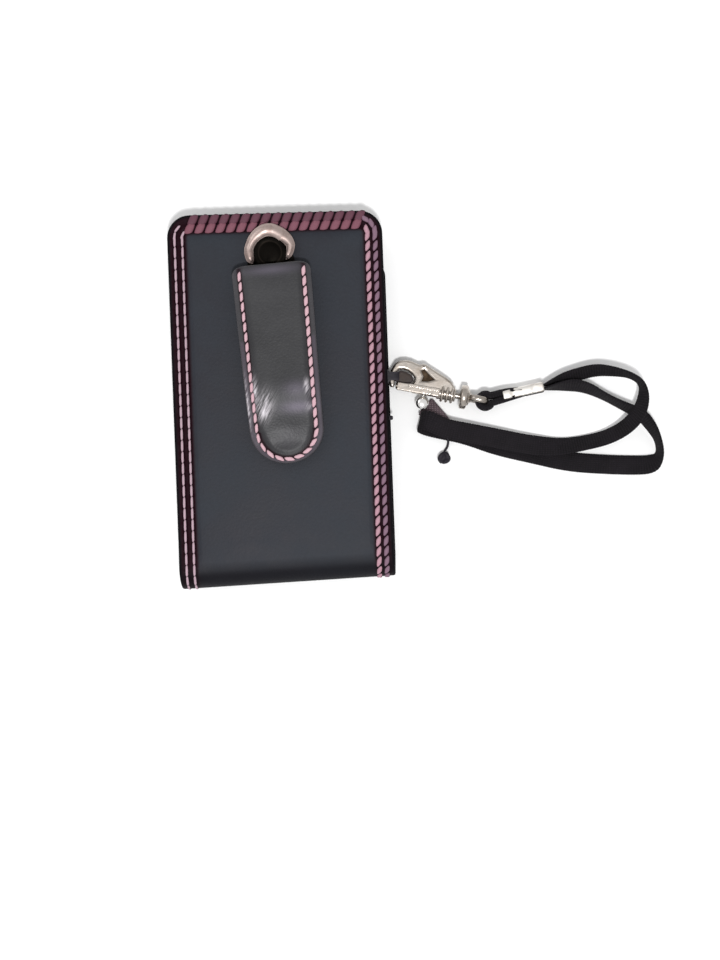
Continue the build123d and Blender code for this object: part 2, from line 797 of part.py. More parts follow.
# ---- knotted tail: the thread end that hangs out of the strap's fold ----
knot_x = 55.9
knot_y = -22.4
knot_radius = 1.9
tail_radius = 0.45
tail_length = 7.6
with BuildPart() as knotted_tail:
    with BuildSketch(Plane(origin=(knot_x, knot_y, 0.8), z_dir=(0.15, 1, 0))):
        Circle(tail_radius)
    extrude(amount=tail_length)
    with Locations((knot_x, knot_y, knot_radius)):
        Sphere(knot_radius)
save(knotted_tail, "knotted_tail")

print("clip hinge at", clip_side().from_local_coords(Vector(pin_y, pin_z, 0)))
print("hook limb at", limb, "axis", hook_heading)
print("loop pivot at", snap_plane().from_local_coords(Vector(loop_centre, 0, 0)))
print("snap axis", snap_plane().x_dir, "clip axis", clip_plane(0).x_dir)
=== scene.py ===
"""Looks of the badge pouch, its belt clip and its wrist lanyard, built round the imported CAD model.

Metres, in the CAD's frame. The pouch lies face down on the floor: its back, with the belt clip,
faces +Z, its mouth is at +Y, and the lanyard hangs from its +X side.
"""

import math

import bpy
import numpy as np
from mathutils import Matrix, Vector, noise


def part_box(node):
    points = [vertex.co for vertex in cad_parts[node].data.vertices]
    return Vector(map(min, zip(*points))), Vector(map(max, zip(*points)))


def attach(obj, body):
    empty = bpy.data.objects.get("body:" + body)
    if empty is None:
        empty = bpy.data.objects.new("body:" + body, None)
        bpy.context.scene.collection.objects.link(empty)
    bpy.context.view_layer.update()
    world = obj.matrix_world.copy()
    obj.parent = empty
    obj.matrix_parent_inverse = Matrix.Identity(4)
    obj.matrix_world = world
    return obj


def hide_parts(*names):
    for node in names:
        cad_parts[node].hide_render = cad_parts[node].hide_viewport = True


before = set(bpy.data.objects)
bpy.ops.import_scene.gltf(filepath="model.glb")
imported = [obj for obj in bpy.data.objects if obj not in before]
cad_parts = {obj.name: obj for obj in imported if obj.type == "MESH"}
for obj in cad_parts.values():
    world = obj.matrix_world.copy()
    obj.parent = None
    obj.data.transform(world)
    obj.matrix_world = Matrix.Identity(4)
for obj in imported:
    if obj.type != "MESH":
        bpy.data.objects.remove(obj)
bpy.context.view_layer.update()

MM = 0.001
UP = Vector((0, 0, 1))

# ---- sizes and places shared with the CAD source ----
pouch_low, pouch_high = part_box("outer_leather")
half_width = pouch_high.x
pouch_top = pouch_high.y
pouch_bottom = pouch_low.y
pouch_depth = pouch_high.z
leather = 1.4 * MM
front_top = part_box("left_gusset")[1].y
bend_radius = pouch_depth / 2
bend_y = pouch_bottom + bend_radius
back_corner = 8 * MM
front_corner = 5 * MM
outer_row = 2.7 * MM
inner_row = 5.35 * MM

stud_x = -1.8 * MM
stud_y = 50.8 * MM


def part_frame(x, y, z, degrees):
    """A part's own frame: at a point in metres, turned about the upright."""
    return Matrix.Translation((x, y, z)) @ Matrix.Rotation(math.radians(degrees), 4, "Z")


clip_frame = part_frame(stud_x, stud_y, 0, 2.8)
snap_frame = part_frame(63.8 * MM, -1.45 * MM, 4.6 * MM, -12.5)
crimp_frame = part_frame(77.2 * MM, -1.7 * MM, 3.75 * MM, 9.7)


# ---- camera ----
def add_camera():
    """Straight down, with the picture's upright turned a little clockwise of +Y."""
    data = bpy.data.cameras.new("camera")
    data.lens = 54.0
    data.sensor_width = 36.0
    data.clip_start = 0.01
    data.clip_end = 10
    camera = bpy.data.objects.new("camera", data)
    camera.location = (0.02555, -0.0290, 0.514)
    camera.rotation_euler = (0, 0, math.radians(-2.7))
    bpy.context.scene.collection.objects.link(camera)
    bpy.context.scene.camera = camera


add_camera()


# ---- node helpers ----
class Surface:
    """A new Principled material with short calls for the nodes that most surfaces need."""

    def __init__(self, name, roughness=0.5, metallic=0.0):
        self.material = bpy.data.materials.new(name)
        self.material.use_nodes = True
        self.tree = self.material.node_tree
        self.shader = self.tree.nodes["Principled BSDF"]
        self.shader.inputs["Roughness"].default_value = roughness
        self.shader.inputs["Metallic"].default_value = metallic
        self.place = self.tree.nodes.new("ShaderNodeTexCoord").outputs["Object"]

    def node(self, kind, **values):
        node = self.tree.nodes.new("ShaderNode" + kind)
        for name, value in values.items():
            setattr(node, name, value)
        return node

    def set(self, node, socket, value):
        """A socket gets a number, a colour or another node's output."""
        if isinstance(value, bpy.types.NodeSocket):
            self.tree.links.new(value, node.inputs[socket])
        else:
            node.inputs[socket].default_value = value

    def noise(self, scale, detail=3.0, roughness=0.5, distortion=0.0, vector=None):
        node = self.node("TexNoise")
        self.set(node, "Vector", vector or self.place)
        self.set(node, "Scale", scale)
        self.set(node, "Detail", detail)
        self.set(node, "Roughness", roughness)
        self.set(node, "Distortion", distortion)
        return node.outputs["Fac"]

    def cells(self, scale, feature="F1", vector=None):
        node = self.node("TexVoronoi", feature=feature)
        self.set(node, "Vector", vector or self.place)
        self.set(node, "Scale", scale)
        return node.outputs["Distance"]

    def bands(self, direction, scale, distortion, vector=None, detail_scale=1.0):
        """Even waves across one axis."""
        node = self.node("TexWave", wave_type="BANDS", bands_direction=direction, wave_profile="SIN")
        self.set(node, "Vector", vector or self.place)
        self.set(node, "Scale", scale)
        self.set(node, "Distortion", distortion)
        self.set(node, "Detail Scale", detail_scale)
        return node.outputs["Fac"]

    def stretched(self, scale, turn=(0, 0, 0), vector=None):
        node = self.node("Mapping")
        self.set(node, "Vector", vector or self.place)
        self.set(node, "Scale", scale)
        self.set(node, "Rotation", turn)
        return node.outputs["Vector"]

    def attribute(self, name):
        return self.node("Attribute", attribute_name=name).outputs["Fac"]

    def uv(self):
        return self.node("UVMap", uv_map="UVMap").outputs["UV"]

    def ramp(self, value, low, high, start=0.0, end=1.0):
        """Value between low and high, stretched to run from start to end and held outside."""
        node = self.node("MapRange")
        for socket, number in (("From Min", low), ("From Max", high), ("To Min", start), ("To Max", end)):
            self.set(node, socket, number)
        self.set(node, "Value", value)
        return node.outputs["Result"]

    def math(self, operation, a, b=0.0, c=0.0):
        node = self.node("Math", operation=operation)
        self.set(node, 0, a)
        self.set(node, 1, b)
        self.set(node, 2, c)
        return node.outputs[0]

    def mix(self, factor, first, second):
        node = self.node("Mix", data_type="RGBA")
        self.set(node, 0, factor)
        self.set(node, 6, first)
        self.set(node, 7, second)
        return node.outputs[2]

    def color(self, value):
        self.set(self.shader, "Base Color", value)

    def roughness(self, value):
        self.set(self.shader, "Roughness", value)

    def bump(self, height, strength, depth):
        """Adds a bump over any that the material has."""
        node = self.node("Bump")
        self.set(node, "Strength", strength)
        self.set(node, "Distance", depth)
        self.set(node, "Height", height)
        normal = self.shader.inputs["Normal"]
        if normal.links:
            self.set(node, "Normal", normal.links[0].from_socket)
        self.set(self.shader, "Normal", node.outputs["Normal"])


def between(first, second, share):
    return tuple(a + (b - a) * share for a, b in zip(first, second))


def shade(red, green, blue):
    """A display colour, 0 to 255, as the linear colour that a shader takes."""
    linear = [(c / 255 / 12.92) if c < 11 else ((c / 255 + 0.055) / 1.055) ** 2.4
              for c in (red, green, blue)]
    return (*linear, 1.0)


# ---- materials ----
def leather_material(name, base, worn, gloss, grain=1250, seam=None, rim=None, creases_and_highlights=False):
    """Finely grained leather, paler where it is rubbed.

    Seam marks the stitched band, painted maroon in the thread's hue with painted shade between the stitches;
    rim is a colour painted at the edge, painted shade on the pouch and painted highlight on the tongue. One
    with creases and highlights gets crease bumps, painted white highlights along them and a soft painted
    sheen.
    """
    surface = Surface(name)
    surface.set(surface.shader, "Specular IOR Level", 0.3)
    patches = surface.noise(45, 4, 0.6)
    speckle = surface.noise(900, 2, 0.6)
    color = surface.mix(surface.ramp(patches, 0.35, 0.7), base, worn)
    color = surface.mix(surface.ramp(speckle, 0.3, 0.75, 0.0, 0.22), color, (0.006, 0.006, 0.009, 1))
    rubbed = surface.ramp(surface.node("NewGeometry").outputs["Pointiness"], 0.52, 0.6, 0.0, 0.5)
    color = surface.mix(rubbed, color, shade(96, 92, 98))
    # Painted shade: the stitched band goes maroon between the stitches, and the rim colour is painted at the
    # edge, as shade on the pouch and as highlight on the tongue.
    if seam:
        patchy = surface.ramp(speckle, 0.2, 0.7, 0.85, 1.0)
        painted_seam_shade = surface.math("MULTIPLY", surface.attribute("seam"), patchy)
        color = surface.mix(painted_seam_shade, color, seam)
        color = surface.mix(surface.attribute("rim"), color, rim)
        dull = surface.math("MAXIMUM", surface.attribute("rim"), painted_seam_shade)
        surface.set(surface.shader, "Specular IOR Level", surface.ramp(dull, 0.0, 1.0, 0.3, 0.05))
    surface.roughness(surface.ramp(patches, 0.3, 0.7, gloss - 0.06, gloss + 0.08))
    surface.bump(surface.noise(160, 3, 0.5), 0.25, 0.25 * MM)
    surface.bump(surface.cells(grain, "SMOOTH_F1"), 0.35, 0.12 * MM)
    surface.bump(surface.noise(3200, 2, 0.6), 0.2, 0.04 * MM)
    # Painted highlights: white streaks along the creases and a soft painted sheen.
    if creases_and_highlights:
        turned = surface.stretched((1, 1, 1), (0, 0, 0.5))
        lines = surface.noise(1.0, 3, 0.6, 0.3, surface.stretched((1500, 170, 300), vector=turned))
        streaks = surface.math("MULTIPLY", surface.ramp(lines, 0.38, 0.62), surface.attribute("crease_highlight"))
        sheen_highlight = surface.ramp(surface.attribute("sheen_highlight"), 0.0, 1.0, 0.0, 0.55)
        color = surface.mix(sheen_highlight, color, shade(122, 114, 130))
        color = surface.mix(streaks, color, shade(212, 206, 212))
        surface.bump(streaks, 0.5, 0.3 * MM)
    surface.color(color)
    return surface.material


def thread_material(name, light, dark):
    """Plied thread: fine fibres along the twist, a painted highlight colour on its top and painted shade where
    it sinks into its hole.
    """
    surface = Surface(name, roughness=0.6)
    surface.set(surface.shader, "Specular IOR Level", 0.25)
    fibres = surface.stretched((1, 9, 1), (0, 0, 0.5), surface.uv())
    strands = surface.noise(6, 2, 0.5, 0.4, fibres)
    # Painted light: the light colour is painted highlight on the thread's top, the dark colour painted shade
    # on its sides and ends.
    crest = surface.ramp(surface.attribute("crest"), 0.25, 0.6)
    color = surface.mix(surface.ramp(strands, 0.3, 0.7), light, between(light, dark, 0.45))
    surface.color(surface.mix(crest, dark, color))
    surface.bump(strands, 0.5, 0.12 * MM)
    return surface.material


def webbing_material(name, dark, light, faded):
    """Narrow black webbing: ribs across, warp lines along, a little lint."""
    surface = Surface(name, roughness=0.85)
    surface.set(surface.shader, "Specular IOR Level", 0.2)
    uv = surface.uv()
    ribs = surface.bands("X", 350, 1.2, uv, detail_scale=2.0)
    warp = surface.bands("Y", 420, 0.6, uv)
    weave = surface.math("MULTIPLY", ribs, warp)
    patches = surface.noise(120, 3, 0.6)
    lint = surface.ramp(surface.noise(2400, 2, 0.7), 0.64, 0.8, 0.0, 0.35)
    color = surface.mix(surface.ramp(weave, 0.1, 0.7), dark, light)
    color = surface.mix(surface.ramp(patches, 0.35, 0.7, 0.0, 0.45), color, faded)
    surface.color(surface.mix(lint, color, shade(84, 76, 84)))
    surface.bump(weave, 0.7, 0.22 * MM)
    return surface.material


def cloth_material(name, dark, light, threads=900):
    """Plain woven cloth, seen closely."""
    surface = Surface(name, roughness=0.85)
    lines = [surface.bands(direction, threads / 3, 0.8) for direction in "XY"]
    weave = surface.math("MAXIMUM", *lines)
    patches = surface.noise(90, 3, 0.6)
    color = surface.mix(surface.ramp(weave, 0.3, 1.0), dark, light)
    surface.color(surface.mix(surface.ramp(patches, 0.35, 0.7, 0, 0.4), color, dark))
    surface.bump(weave, 0.5, 0.12 * MM)
    return surface.material


def metal_material(name, base, tarnish, roughness, scratches=0.3):
    """Plated metal: fine scratches, cloudy tarnish and slightly uneven casting."""
    surface = Surface(name, metallic=1.0)
    clouds = surface.noise(260, 4, 0.6)
    lines = surface.noise(1.0, 2, 0.5, 0.2, surface.stretched((500, 6000, 2500), (0, 0, 0.3)))
    color = surface.mix(surface.ramp(clouds, 0.45, 0.75), base, tarnish)
    hollow = surface.ramp(surface.node("NewGeometry").outputs["Pointiness"], 0.42, 0.49, 0.6, 0.0)
    surface.color(surface.mix(hollow, color, shade(60, 52, 46)))
    surface.roughness(surface.ramp(clouds, 0.3, 0.8, roughness - 0.08, roughness + 0.14))
    surface.bump(clouds, 0.25, 0.25 * MM)
    surface.bump(lines, scratches, 0.03 * MM)
    return surface.material


def board_material():
    surface = Surface("board", roughness=0.9)
    fibres = surface.noise(1.0, 4, 0.7, 0.5, surface.stretched((500, 1400, 900)))
    surface.color(surface.mix(surface.ramp(fibres, 0.3, 0.7), shade(92, 84, 74), shade(128, 118, 104)))
    surface.bump(fibres, 0.4, 0.15 * MM)
    return surface.material


def vinyl_material():
    """Clear sheet: faint ripples and fine rubbing marks."""
    surface = Surface("clear_vinyl", roughness=0.08)
    surface.set(surface.shader, "Transmission Weight", 1.0)
    surface.set(surface.shader, "IOR", 1.45)
    marks = surface.noise(1.0, 3, 0.6, 0.3, surface.stretched((60, 2200, 600), (0, 0, 0.6)))
    surface.color(surface.mix(surface.ramp(marks, 0.4, 0.8), (0.93, 0.95, 0.95, 1), (0.8, 0.82, 0.83, 1)))
    surface.roughness(surface.ramp(marks, 0.4, 0.75, 0.05, 0.22))
    surface.bump(surface.noise(55, 2, 0.5), 0.2, 0.5 * MM)
    return surface.material


def floor_material():
    surface = Surface("floor", roughness=0.7)
    tone = surface.noise(6, 3, 0.5)
    surface.color(surface.mix(tone, (0.93, 0.93, 0.93, 1), (0.97, 0.97, 0.97, 1)))
    surface.bump(surface.noise(400, 3, 0.6), 0.05, 0.1 * MM)
    return surface.material


maroon = shade(26, 2, 10)
edge_shade_black = shade(12, 9, 13)
# The pouch's near-black rim colour is painted shade on its rounded edges and bottom roll; its maroon seam
# colour is painted shade between the stitches.
pouch_leather = leather_material("pouch_leather", shade(26, 27, 36), shade(36, 41, 49), 0.6, seam=maroon,
                                 rim=edge_shade_black)
# Its rim colour is painted highlight along the edge; its maroon seam colour is painted shade between the
# stitches.
tongue_leather = leather_material("tongue_leather", shade(40, 40, 42), shade(52, 52, 54), 0.45, grain=1500,
                                  seam=maroon, rim=shade(80, 73, 82), creases_and_highlights=True)
tab_leather = leather_material("tab_leather", shade(24, 22, 28), shade(38, 35, 42), 0.5)
# Brown leather for the tab's end in the hook: the tab's leather with painted shade of the hook's opening.
brown_painted_shade_leather = leather_material("brown_painted_shade_leather", shade(34, 26, 22), shade(62, 48, 40), 0.5)
side_thread = thread_material("side_thread", shade(196, 152, 166), maroon)
grey_thread = thread_material("grey_thread", shade(140, 110, 128), maroon)
# The two top band threads are darker copies of the side thread: painted shade along the top of the pouch.
shaded_band_thread = thread_material("shaded_band_thread", shade(134, 84, 98), shade(30, 4, 14))
deeper_shade_band_thread = thread_material("deeper_shade_band_thread", shade(104, 64, 78), shade(30, 4, 14))
pale_thread = thread_material("pale_thread", shade(198, 170, 182), maroon)
webbing = webbing_material("webbing", shade(11, 9, 12), shade(28, 24, 29), shade(31, 27, 32))
# A lighter copy of the webbing: painted light on the strap's folded corner where it faces the lamp.
painted_lit_webbing = webbing_material("painted_lit_webbing", shade(70, 60, 64), shade(122, 106, 112), shade(104, 90, 96))
lining_cloth = cloth_material("lining_cloth", shade(18, 18, 22), shade(44, 43, 50))
gusset_cloth = cloth_material("gusset_cloth", shade(14, 13, 17), shade(36, 34, 40), 1100)
ring_metal = metal_material("ring_metal", shade(186, 168, 162), shade(138, 118, 112), 0.4)
snap_metal = metal_material("snap_metal", shade(190, 182, 174), shade(134, 124, 114), 0.26)
crimp_metal = metal_material("crimp_metal", shade(240, 236, 230), shade(214, 206, 198), 0.4, 0.1)
steel_metal = metal_material("spring_steel", shade(150, 150, 154), shade(110, 108, 108), 0.34, 0.5)
black_metal = metal_material("black_metal", shade(18, 16, 14), shade(10, 9, 8), 0.55)
tongue_thread = thread_material("tongue_thread", shade(224, 184, 194), maroon)
tail_thread = thread_material("tail_thread", shade(42, 38, 46), shade(20, 18, 24))
# Dark brown fill for the snap's window: painted shade.
painted_shade_metal = metal_material("painted_shade_metal", shade(70, 58, 46), shade(36, 28, 22), 0.5)
knob_metal = metal_material("knob_metal", shade(250, 249, 247), shade(238, 235, 231), 0.18, 0.1)
board = board_material()
vinyl = vinyl_material()


# ---- number helpers ----
def clamp(value, high=1):
    return min(max(value, 0), high)


def bell(distance, width):
    """1 in the middle, falling smoothly to nothing a few widths away."""
    return math.exp(-(distance / width) ** 2)


def spaced(*parts):
    """Numbers from runs of (start, end, step), with each run's own spacing."""
    values = []
    for start, end, step in parts:
        count = max(round(abs(end - start) / step), 1)
        values += [start + (end - start) * k / count for k in range(count)]
    return [*values, parts[-1][1]]


def in_mm(points):
    return [(x * MM, y * MM) for x, y in points]


def circle(centre_x, centre_y, radius, steps):
    """Points round a circle."""
    turns = [2 * math.pi * k / steps for k in range(steps)]
    return [(centre_x + radius * math.cos(a), centre_y + radius * math.sin(a)) for a in turns]


# ---- mesh helpers ----
def show(name, shape, material, body, replaced=()):
    """A mesh piece from (vertices, faces) in the CAD's frame, riding on a body."""
    vertices, faces = shape
    mesh = bpy.data.meshes.new(name)
    mesh.from_pydata([tuple(v) for v in vertices], [], [tuple(f) for f in faces])
    mesh.shade_smooth()
    mesh.set_sharp_from_angle(angle=math.radians(50))
    mesh.materials.append(material)
    piece = bpy.data.objects.new(name, mesh)
    bpy.context.scene.collection.objects.link(piece)
    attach(piece, body)
    if replaced:
        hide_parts(*replaced)
    return piece


def set_attribute(piece, name, values, rest=0.0):
    """A number for each vertex of a piece; those after the last given value get the rest."""
    attribute = piece.data.attributes.new(name, "FLOAT", "POINT")
    filled = np.full(len(piece.data.vertices), rest, np.float32)
    filled[:len(values)] = values
    attribute.data.foreach_set("value", filled)


def set_uv(piece, uv):
    """One UV for each vertex."""
    layer = piece.data.uv_layers.new(name="UVMap")
    loops = np.zeros(len(piece.data.loops), np.int32)
    piece.data.loops.foreach_get("vertex_index", loops)
    layer.data.foreach_set("uv", np.asarray(uv, np.float32)[loops].ravel())


def through(points, steps=8):
    """A smooth line through the points, as an array."""
    given = np.array(points, float)
    padded = np.vstack([2 * given[0] - given[1], given, 2 * given[-1] - given[-2]])
    line = []
    for a, b, c, d in zip(padded, padded[1:], padded[2:], padded[3:]):
        for t in np.arange(steps) / steps:
            line.append(0.5 * (2 * b + (c - a) * t + (2 * a - 5 * b + 4 * c - d) * t**2
                               + (3 * b - a - 3 * c + d) * t**3))
    return np.array([*line, given[-1]])


def shell(outer, inner, rim_steps=4):
    """Vertices and faces of a closed skin between two grids of points, its rim rounded outwards."""
    outer, inner = np.array(outer), np.array(inner)
    rows, columns = outer.shape[:2]
    count = rows * columns
    index = np.arange(count).reshape(rows, columns)
    vertices = [*outer.reshape(-1, 3), *inner.reshape(-1, 3)]
    faces = []
    for r in range(rows - 1):
        for c in range(columns - 1):
            corner = (index[r, c], index[r + 1, c], index[r + 1, c + 1], index[r, c + 1])
            faces.append(corner)
            faces.append(tuple(count + i for i in reversed(corner)))
    loop = [*index[0, :-1], *index[:-1, -1], *index[-1, :0:-1], *index[:0:-1, 0]]
    rings = [loop]
    flat_outer = outer.reshape(-1, 3)
    flat_inner = inner.reshape(-1, 3)
    ends = []
    for k, i in enumerate(loop):
        thickness = flat_outer[i] - flat_inner[i]
        tangent = flat_outer[loop[(k + 1) % len(loop)]] - flat_outer[loop[k - 1]]
        outward = np.cross(thickness, tangent)
        outward *= np.linalg.norm(thickness) / 2 / max(np.linalg.norm(outward), 1e-12)
        ends.append(((flat_outer[i] + flat_inner[i]) / 2, thickness / 2, outward))
    centre = outer.reshape(-1, 3).mean(0)
    sign = 1 if sum(np.dot(m - centre, e) for m, _, e in ends) > 0 else -1
    for step in range(1, rim_steps):
        angle = math.pi * step / rim_steps
        ring = []
        for middle, up, outward in ends:
            ring.append(len(vertices))
            vertices.append(middle + math.cos(angle) * up + sign * math.sin(angle) * outward)
        rings.append(ring)
    rings.append([count + i for i in loop])
    for first, second in zip(rings, rings[1:]):
        for k in range(len(loop)):
            after = (k + 1) % len(loop)
            faces.append((first[k], first[after], second[after], second[k]))
    return vertices, faces


def tube_faces(rings, count, closed=False):
    """Faces that join rings of count points each, with a cap at both ends unless the tube closes."""
    faces = []
    for r in range(rings if closed else rings - 1):
        after = (r + 1) % rings
        for k in range(count):
            turn = (k + 1) % count
            faces.append((r * count + k, r * count + turn, after * count + turn, after * count + k))
    if not closed:
        faces.append(tuple(reversed(range(count))))
        faces.append(tuple((rings - 1) * count + k for k in range(count)))
    return faces


def swept(points, sections, closed=False):
    """Vertices and faces through loops of section points, one loop for each point of a path."""
    vertices = [p + s for p, section in zip(points, sections) for s in section]
    return vertices, tube_faces(len(points), len(sections[0]), closed)


def directions(points, closed=False):
    """Unit tangent at each point of a path."""
    if closed:
        ahead = np.roll(points, -1, 0) - np.roll(points, 1, 0)
    else:
        ahead = np.gradient(points, axis=0)
    return ahead / np.linalg.norm(ahead, axis=1)[:, None]


def bar(points, radii, body_frame, height=None, around=16):
    """A round or oval bar along a line of (x, y) or (x, y, z) in a part's own frame, tapering by radii."""
    line = np.array([(*p, 0.0)[:3] for p in points], float)
    tangent = directions(line)
    side = np.cross(tangent, (0, 0, 1))
    side /= np.linalg.norm(side, axis=1)[:, None]
    over = np.cross(side, tangent)
    sections = []
    for k, radius in enumerate(radii):
        high = radius if height is None else height[k]
        turn = 2 * math.pi * np.arange(around) / around
        sections.append(np.outer(np.cos(turn) * radius, side[k]) + np.outer(np.sin(turn) * high, over[k]))
    vertices, faces = swept(line, sections)
    return [body_frame @ Vector(v) for v in vertices], faces


def turned_part(profile, body_frame, axis="X", steps=48):
    """A lathe-turned solid from (along, radius) points, about the x or z axis of its own frame."""
    vertices = []
    for along, radius in profile:
        for k in range(steps):
            angle = 2 * math.pi * k / steps
            a, b = radius * math.cos(angle), radius * math.sin(angle)
            point = Vector((along, a, b)) if axis == "X" else Vector((a, b, along))
            vertices.append(body_frame @ point)
    return vertices, tube_faces(len(profile), steps)


def placed(grid, body_frame):
    """A grid of points in a part's own frame, moved to the CAD's frame."""
    grid = np.array(grid)
    flat = [body_frame @ Vector(p) for p in grid.reshape(-1, 3)]
    return np.array(flat).reshape(grid.shape)


def joined(*parts):
    """Several (vertices, faces) as one."""
    vertices, faces = [], []
    for some_vertices, some_faces in parts:
        start = len(vertices)
        vertices += list(some_vertices)
        faces += [tuple(start + i for i in face) for face in some_faces]
    return vertices, faces


def flat_plate(outline, holes, thickness, rounding, body_frame):
    """A plate with rounded edges from a flat outline, made as a filled 2-D curve."""
    curve = bpy.data.curves.new("plate", "CURVE")
    curve.dimensions = "2D"
    curve.fill_mode = "BOTH"
    curve.extrude = thickness / 2 - rounding
    curve.bevel_depth = rounding
    curve.bevel_resolution = 3
    curve.offset = -rounding
    for points in [outline, *holes]:
        spline = curve.splines.new("POLY")
        spline.points.add(len(points) - 1)
        for target, (x, y) in zip(spline.points, points):
            target.co = (x, y, 0, 1)
        spline.use_cyclic_u = True
    holder = bpy.data.objects.new("plate", curve)
    mesh = bpy.data.meshes.new_from_object(holder)
    vertices = [body_frame @ v.co for v in mesh.vertices]
    faces = [tuple(p.vertices) for p in mesh.polygons]
    bpy.data.objects.remove(holder)
    bpy.data.curves.remove(curve)
    bpy.data.meshes.remove(mesh)
    return vertices, faces


# ---- wrist strap: the cord's route, then the flat webbing that follows it ----
strap_width = 7.0 * MM
strap_thickness = 0.9 * MM
flat_z = 0.0006
# Each point is (x, y, z) in metres and how far the strap is turned up on its edge, in degrees.
strap_route = [
    ((0.09179, 0.00139, 0.0038), 90),
    ((0.0978, 0.0032, 0.0040), 56),
    ((0.1042, 0.0047, 0.0046), 50),
    ((0.1106, 0.0060, 0.0056), 54),
    ((0.1170, 0.0050, 0.0070), 66),
    ((0.1222, 0.0034, 0.0086), 80),
    ((0.1260, 0.0004, 0.0096), 82),
    ((0.1264, -0.0046, 0.0094), 64),
    ((0.1246, -0.0100, 0.0088), 50),
    ((0.1206, -0.0146, 0.0068), 44),
    ((0.1140, -0.0180, 0.0048), 42),
    ((0.1060, -0.0196, 0.0036), 40),
    ((0.0970, -0.0206, 0.0030), 30),
    ((0.0870, -0.0196, 0.0036), 0),
    ((0.0750, -0.0166, 0.0042), 0),
    ((0.0640, -0.0140, 0.0050), 0),
    ((0.0560, -0.0122, 0.0060), 0),
    ((0.0502, -0.0088, 0.0070), 0),
    ((0.0472, -0.0092, 0.0036), 0),
    ((0.0496, -0.0108, flat_z), 0),
    ((0.0560, -0.0126, flat_z), 0),
    ((0.0640, -0.0146, flat_z), 0),
    ((0.0750, -0.0192, flat_z), 0),
    ((0.0875, -0.0226, flat_z), 0),
    ((0.1000, -0.0261, flat_z), 0),
    ((0.1120, -0.0275, flat_z), 0),
    ((0.1235, -0.0284, 0.0010), 4),
    ((0.1296, -0.0284, 0.0020), 22),
    ((0.1324, -0.0254, 0.0036), 76),
    ((0.1320, -0.0200, 0.0038), 80),
    ((0.1296, -0.0148, 0.0036), 64),
    ((0.1262, -0.0102, 0.0032), 58),
    ((0.1195, -0.0068, 0.0032), 70),
    ((0.1134, -0.0034, 0.0034), 74),
    ((0.1071, 0.0002, 0.0035), 58),
    ((0.1008, 0.0014, 0.0037), 52),
    ((0.09179, 0.00019, 0.0038), 90),
]
fold_at = 18  # the route's point at the strap's folded end


def nurbs_points(name, points, resolution):
    """Points along the NURBS spline that has the given control points."""
    curve = bpy.data.curves.new(name, "CURVE")
    curve.dimensions = "3D"
    curve.resolution_u = resolution
    spline = curve.splines.new("NURBS")
    spline.points.add(len(points) - 1)
    for target, point in zip(spline.points, points):
        target.co = (*point, 1.0)
    spline.order_u = 3
    spline.use_endpoint_u = True
    holder = bpy.data.objects.new(name, curve)
    mesh = bpy.data.meshes.new_from_object(holder)
    line = np.array([v.co for v in mesh.vertices], float)
    bpy.data.objects.remove(holder)
    bpy.data.curves.remove(curve)
    bpy.data.meshes.remove(mesh)
    return line


def edge_controls():
    """Control points of the strap's outer edge: beside the route where flat, above it where on edge."""
    points = [Vector(point) for point, _ in strap_route]
    sides = []
    for run, (start, end) in enumerate(zip(points, points[1:])):
        across = UP.cross(end - start).normalized()
        sides.append(across if run < fold_at else -across)
    controls = []
    for k, (point, (_, turn)) in enumerate(zip(points, strap_route)):
        side = (sides[max(k - 1, 0)] + sides[min(k, len(sides) - 1)]).normalized()
        angle = math.radians(turn)
        controls.append(point + (math.cos(angle) * side + math.sin(angle) * UP) * strap_width / 2)
    return controls


def ribbon_sections(line, edge, width, thickness, serration=0.0):
    """Flat rounded sections across a line, each turned towards the matching point of an edge line."""
    tangent = directions(line)
    across = edge - line
    across -= (across * tangent).sum(1)[:, None] * tangent
    across /= np.linalg.norm(across, axis=1)[:, None]
    normal = np.cross(tangent, across)
    along = np.concatenate([[0], np.cumsum(np.linalg.norm(np.diff(line, axis=0), axis=1))])
    half = np.linspace(-1, 1, 11)
    profile = [(v, 1) for v in half] + [(v, -1) for v in half[::-1]]
    sections = []
    for k, s in enumerate(along):
        tooth = serration * abs((s / (0.9 * MM)) % 1 - 0.5)
        section = []
        for v, face in profile:
            high = thickness / 2 * max(1 - abs(v) ** 5, 0.0) ** 0.5 * 0.85 + thickness * 0.05
            section.append(across[k] * v * (width / 2 - tooth) + normal[k] * face * high)
        sections.append(np.array(section))
    uv = [(s, face * 0.012 + v * width / 2) for s in along for v, face in profile]
    return sections, uv


def add_wrist_strap():
    line = nurbs_points("strap_line", [point for point, _ in strap_route], 40)
    edge = nurbs_points("strap_edge", edge_controls(), 40)
    sections, uv = ribbon_sections(line, edge, strap_width, strap_thickness, 0.25 * MM)
    strap = show("strap_webbing", swept(line, sections), webbing, "lanyard", ["wrist_strap"])
    set_uv(strap, uv)
    return strap, line


wrist_strap, strap_line = add_wrist_strap()


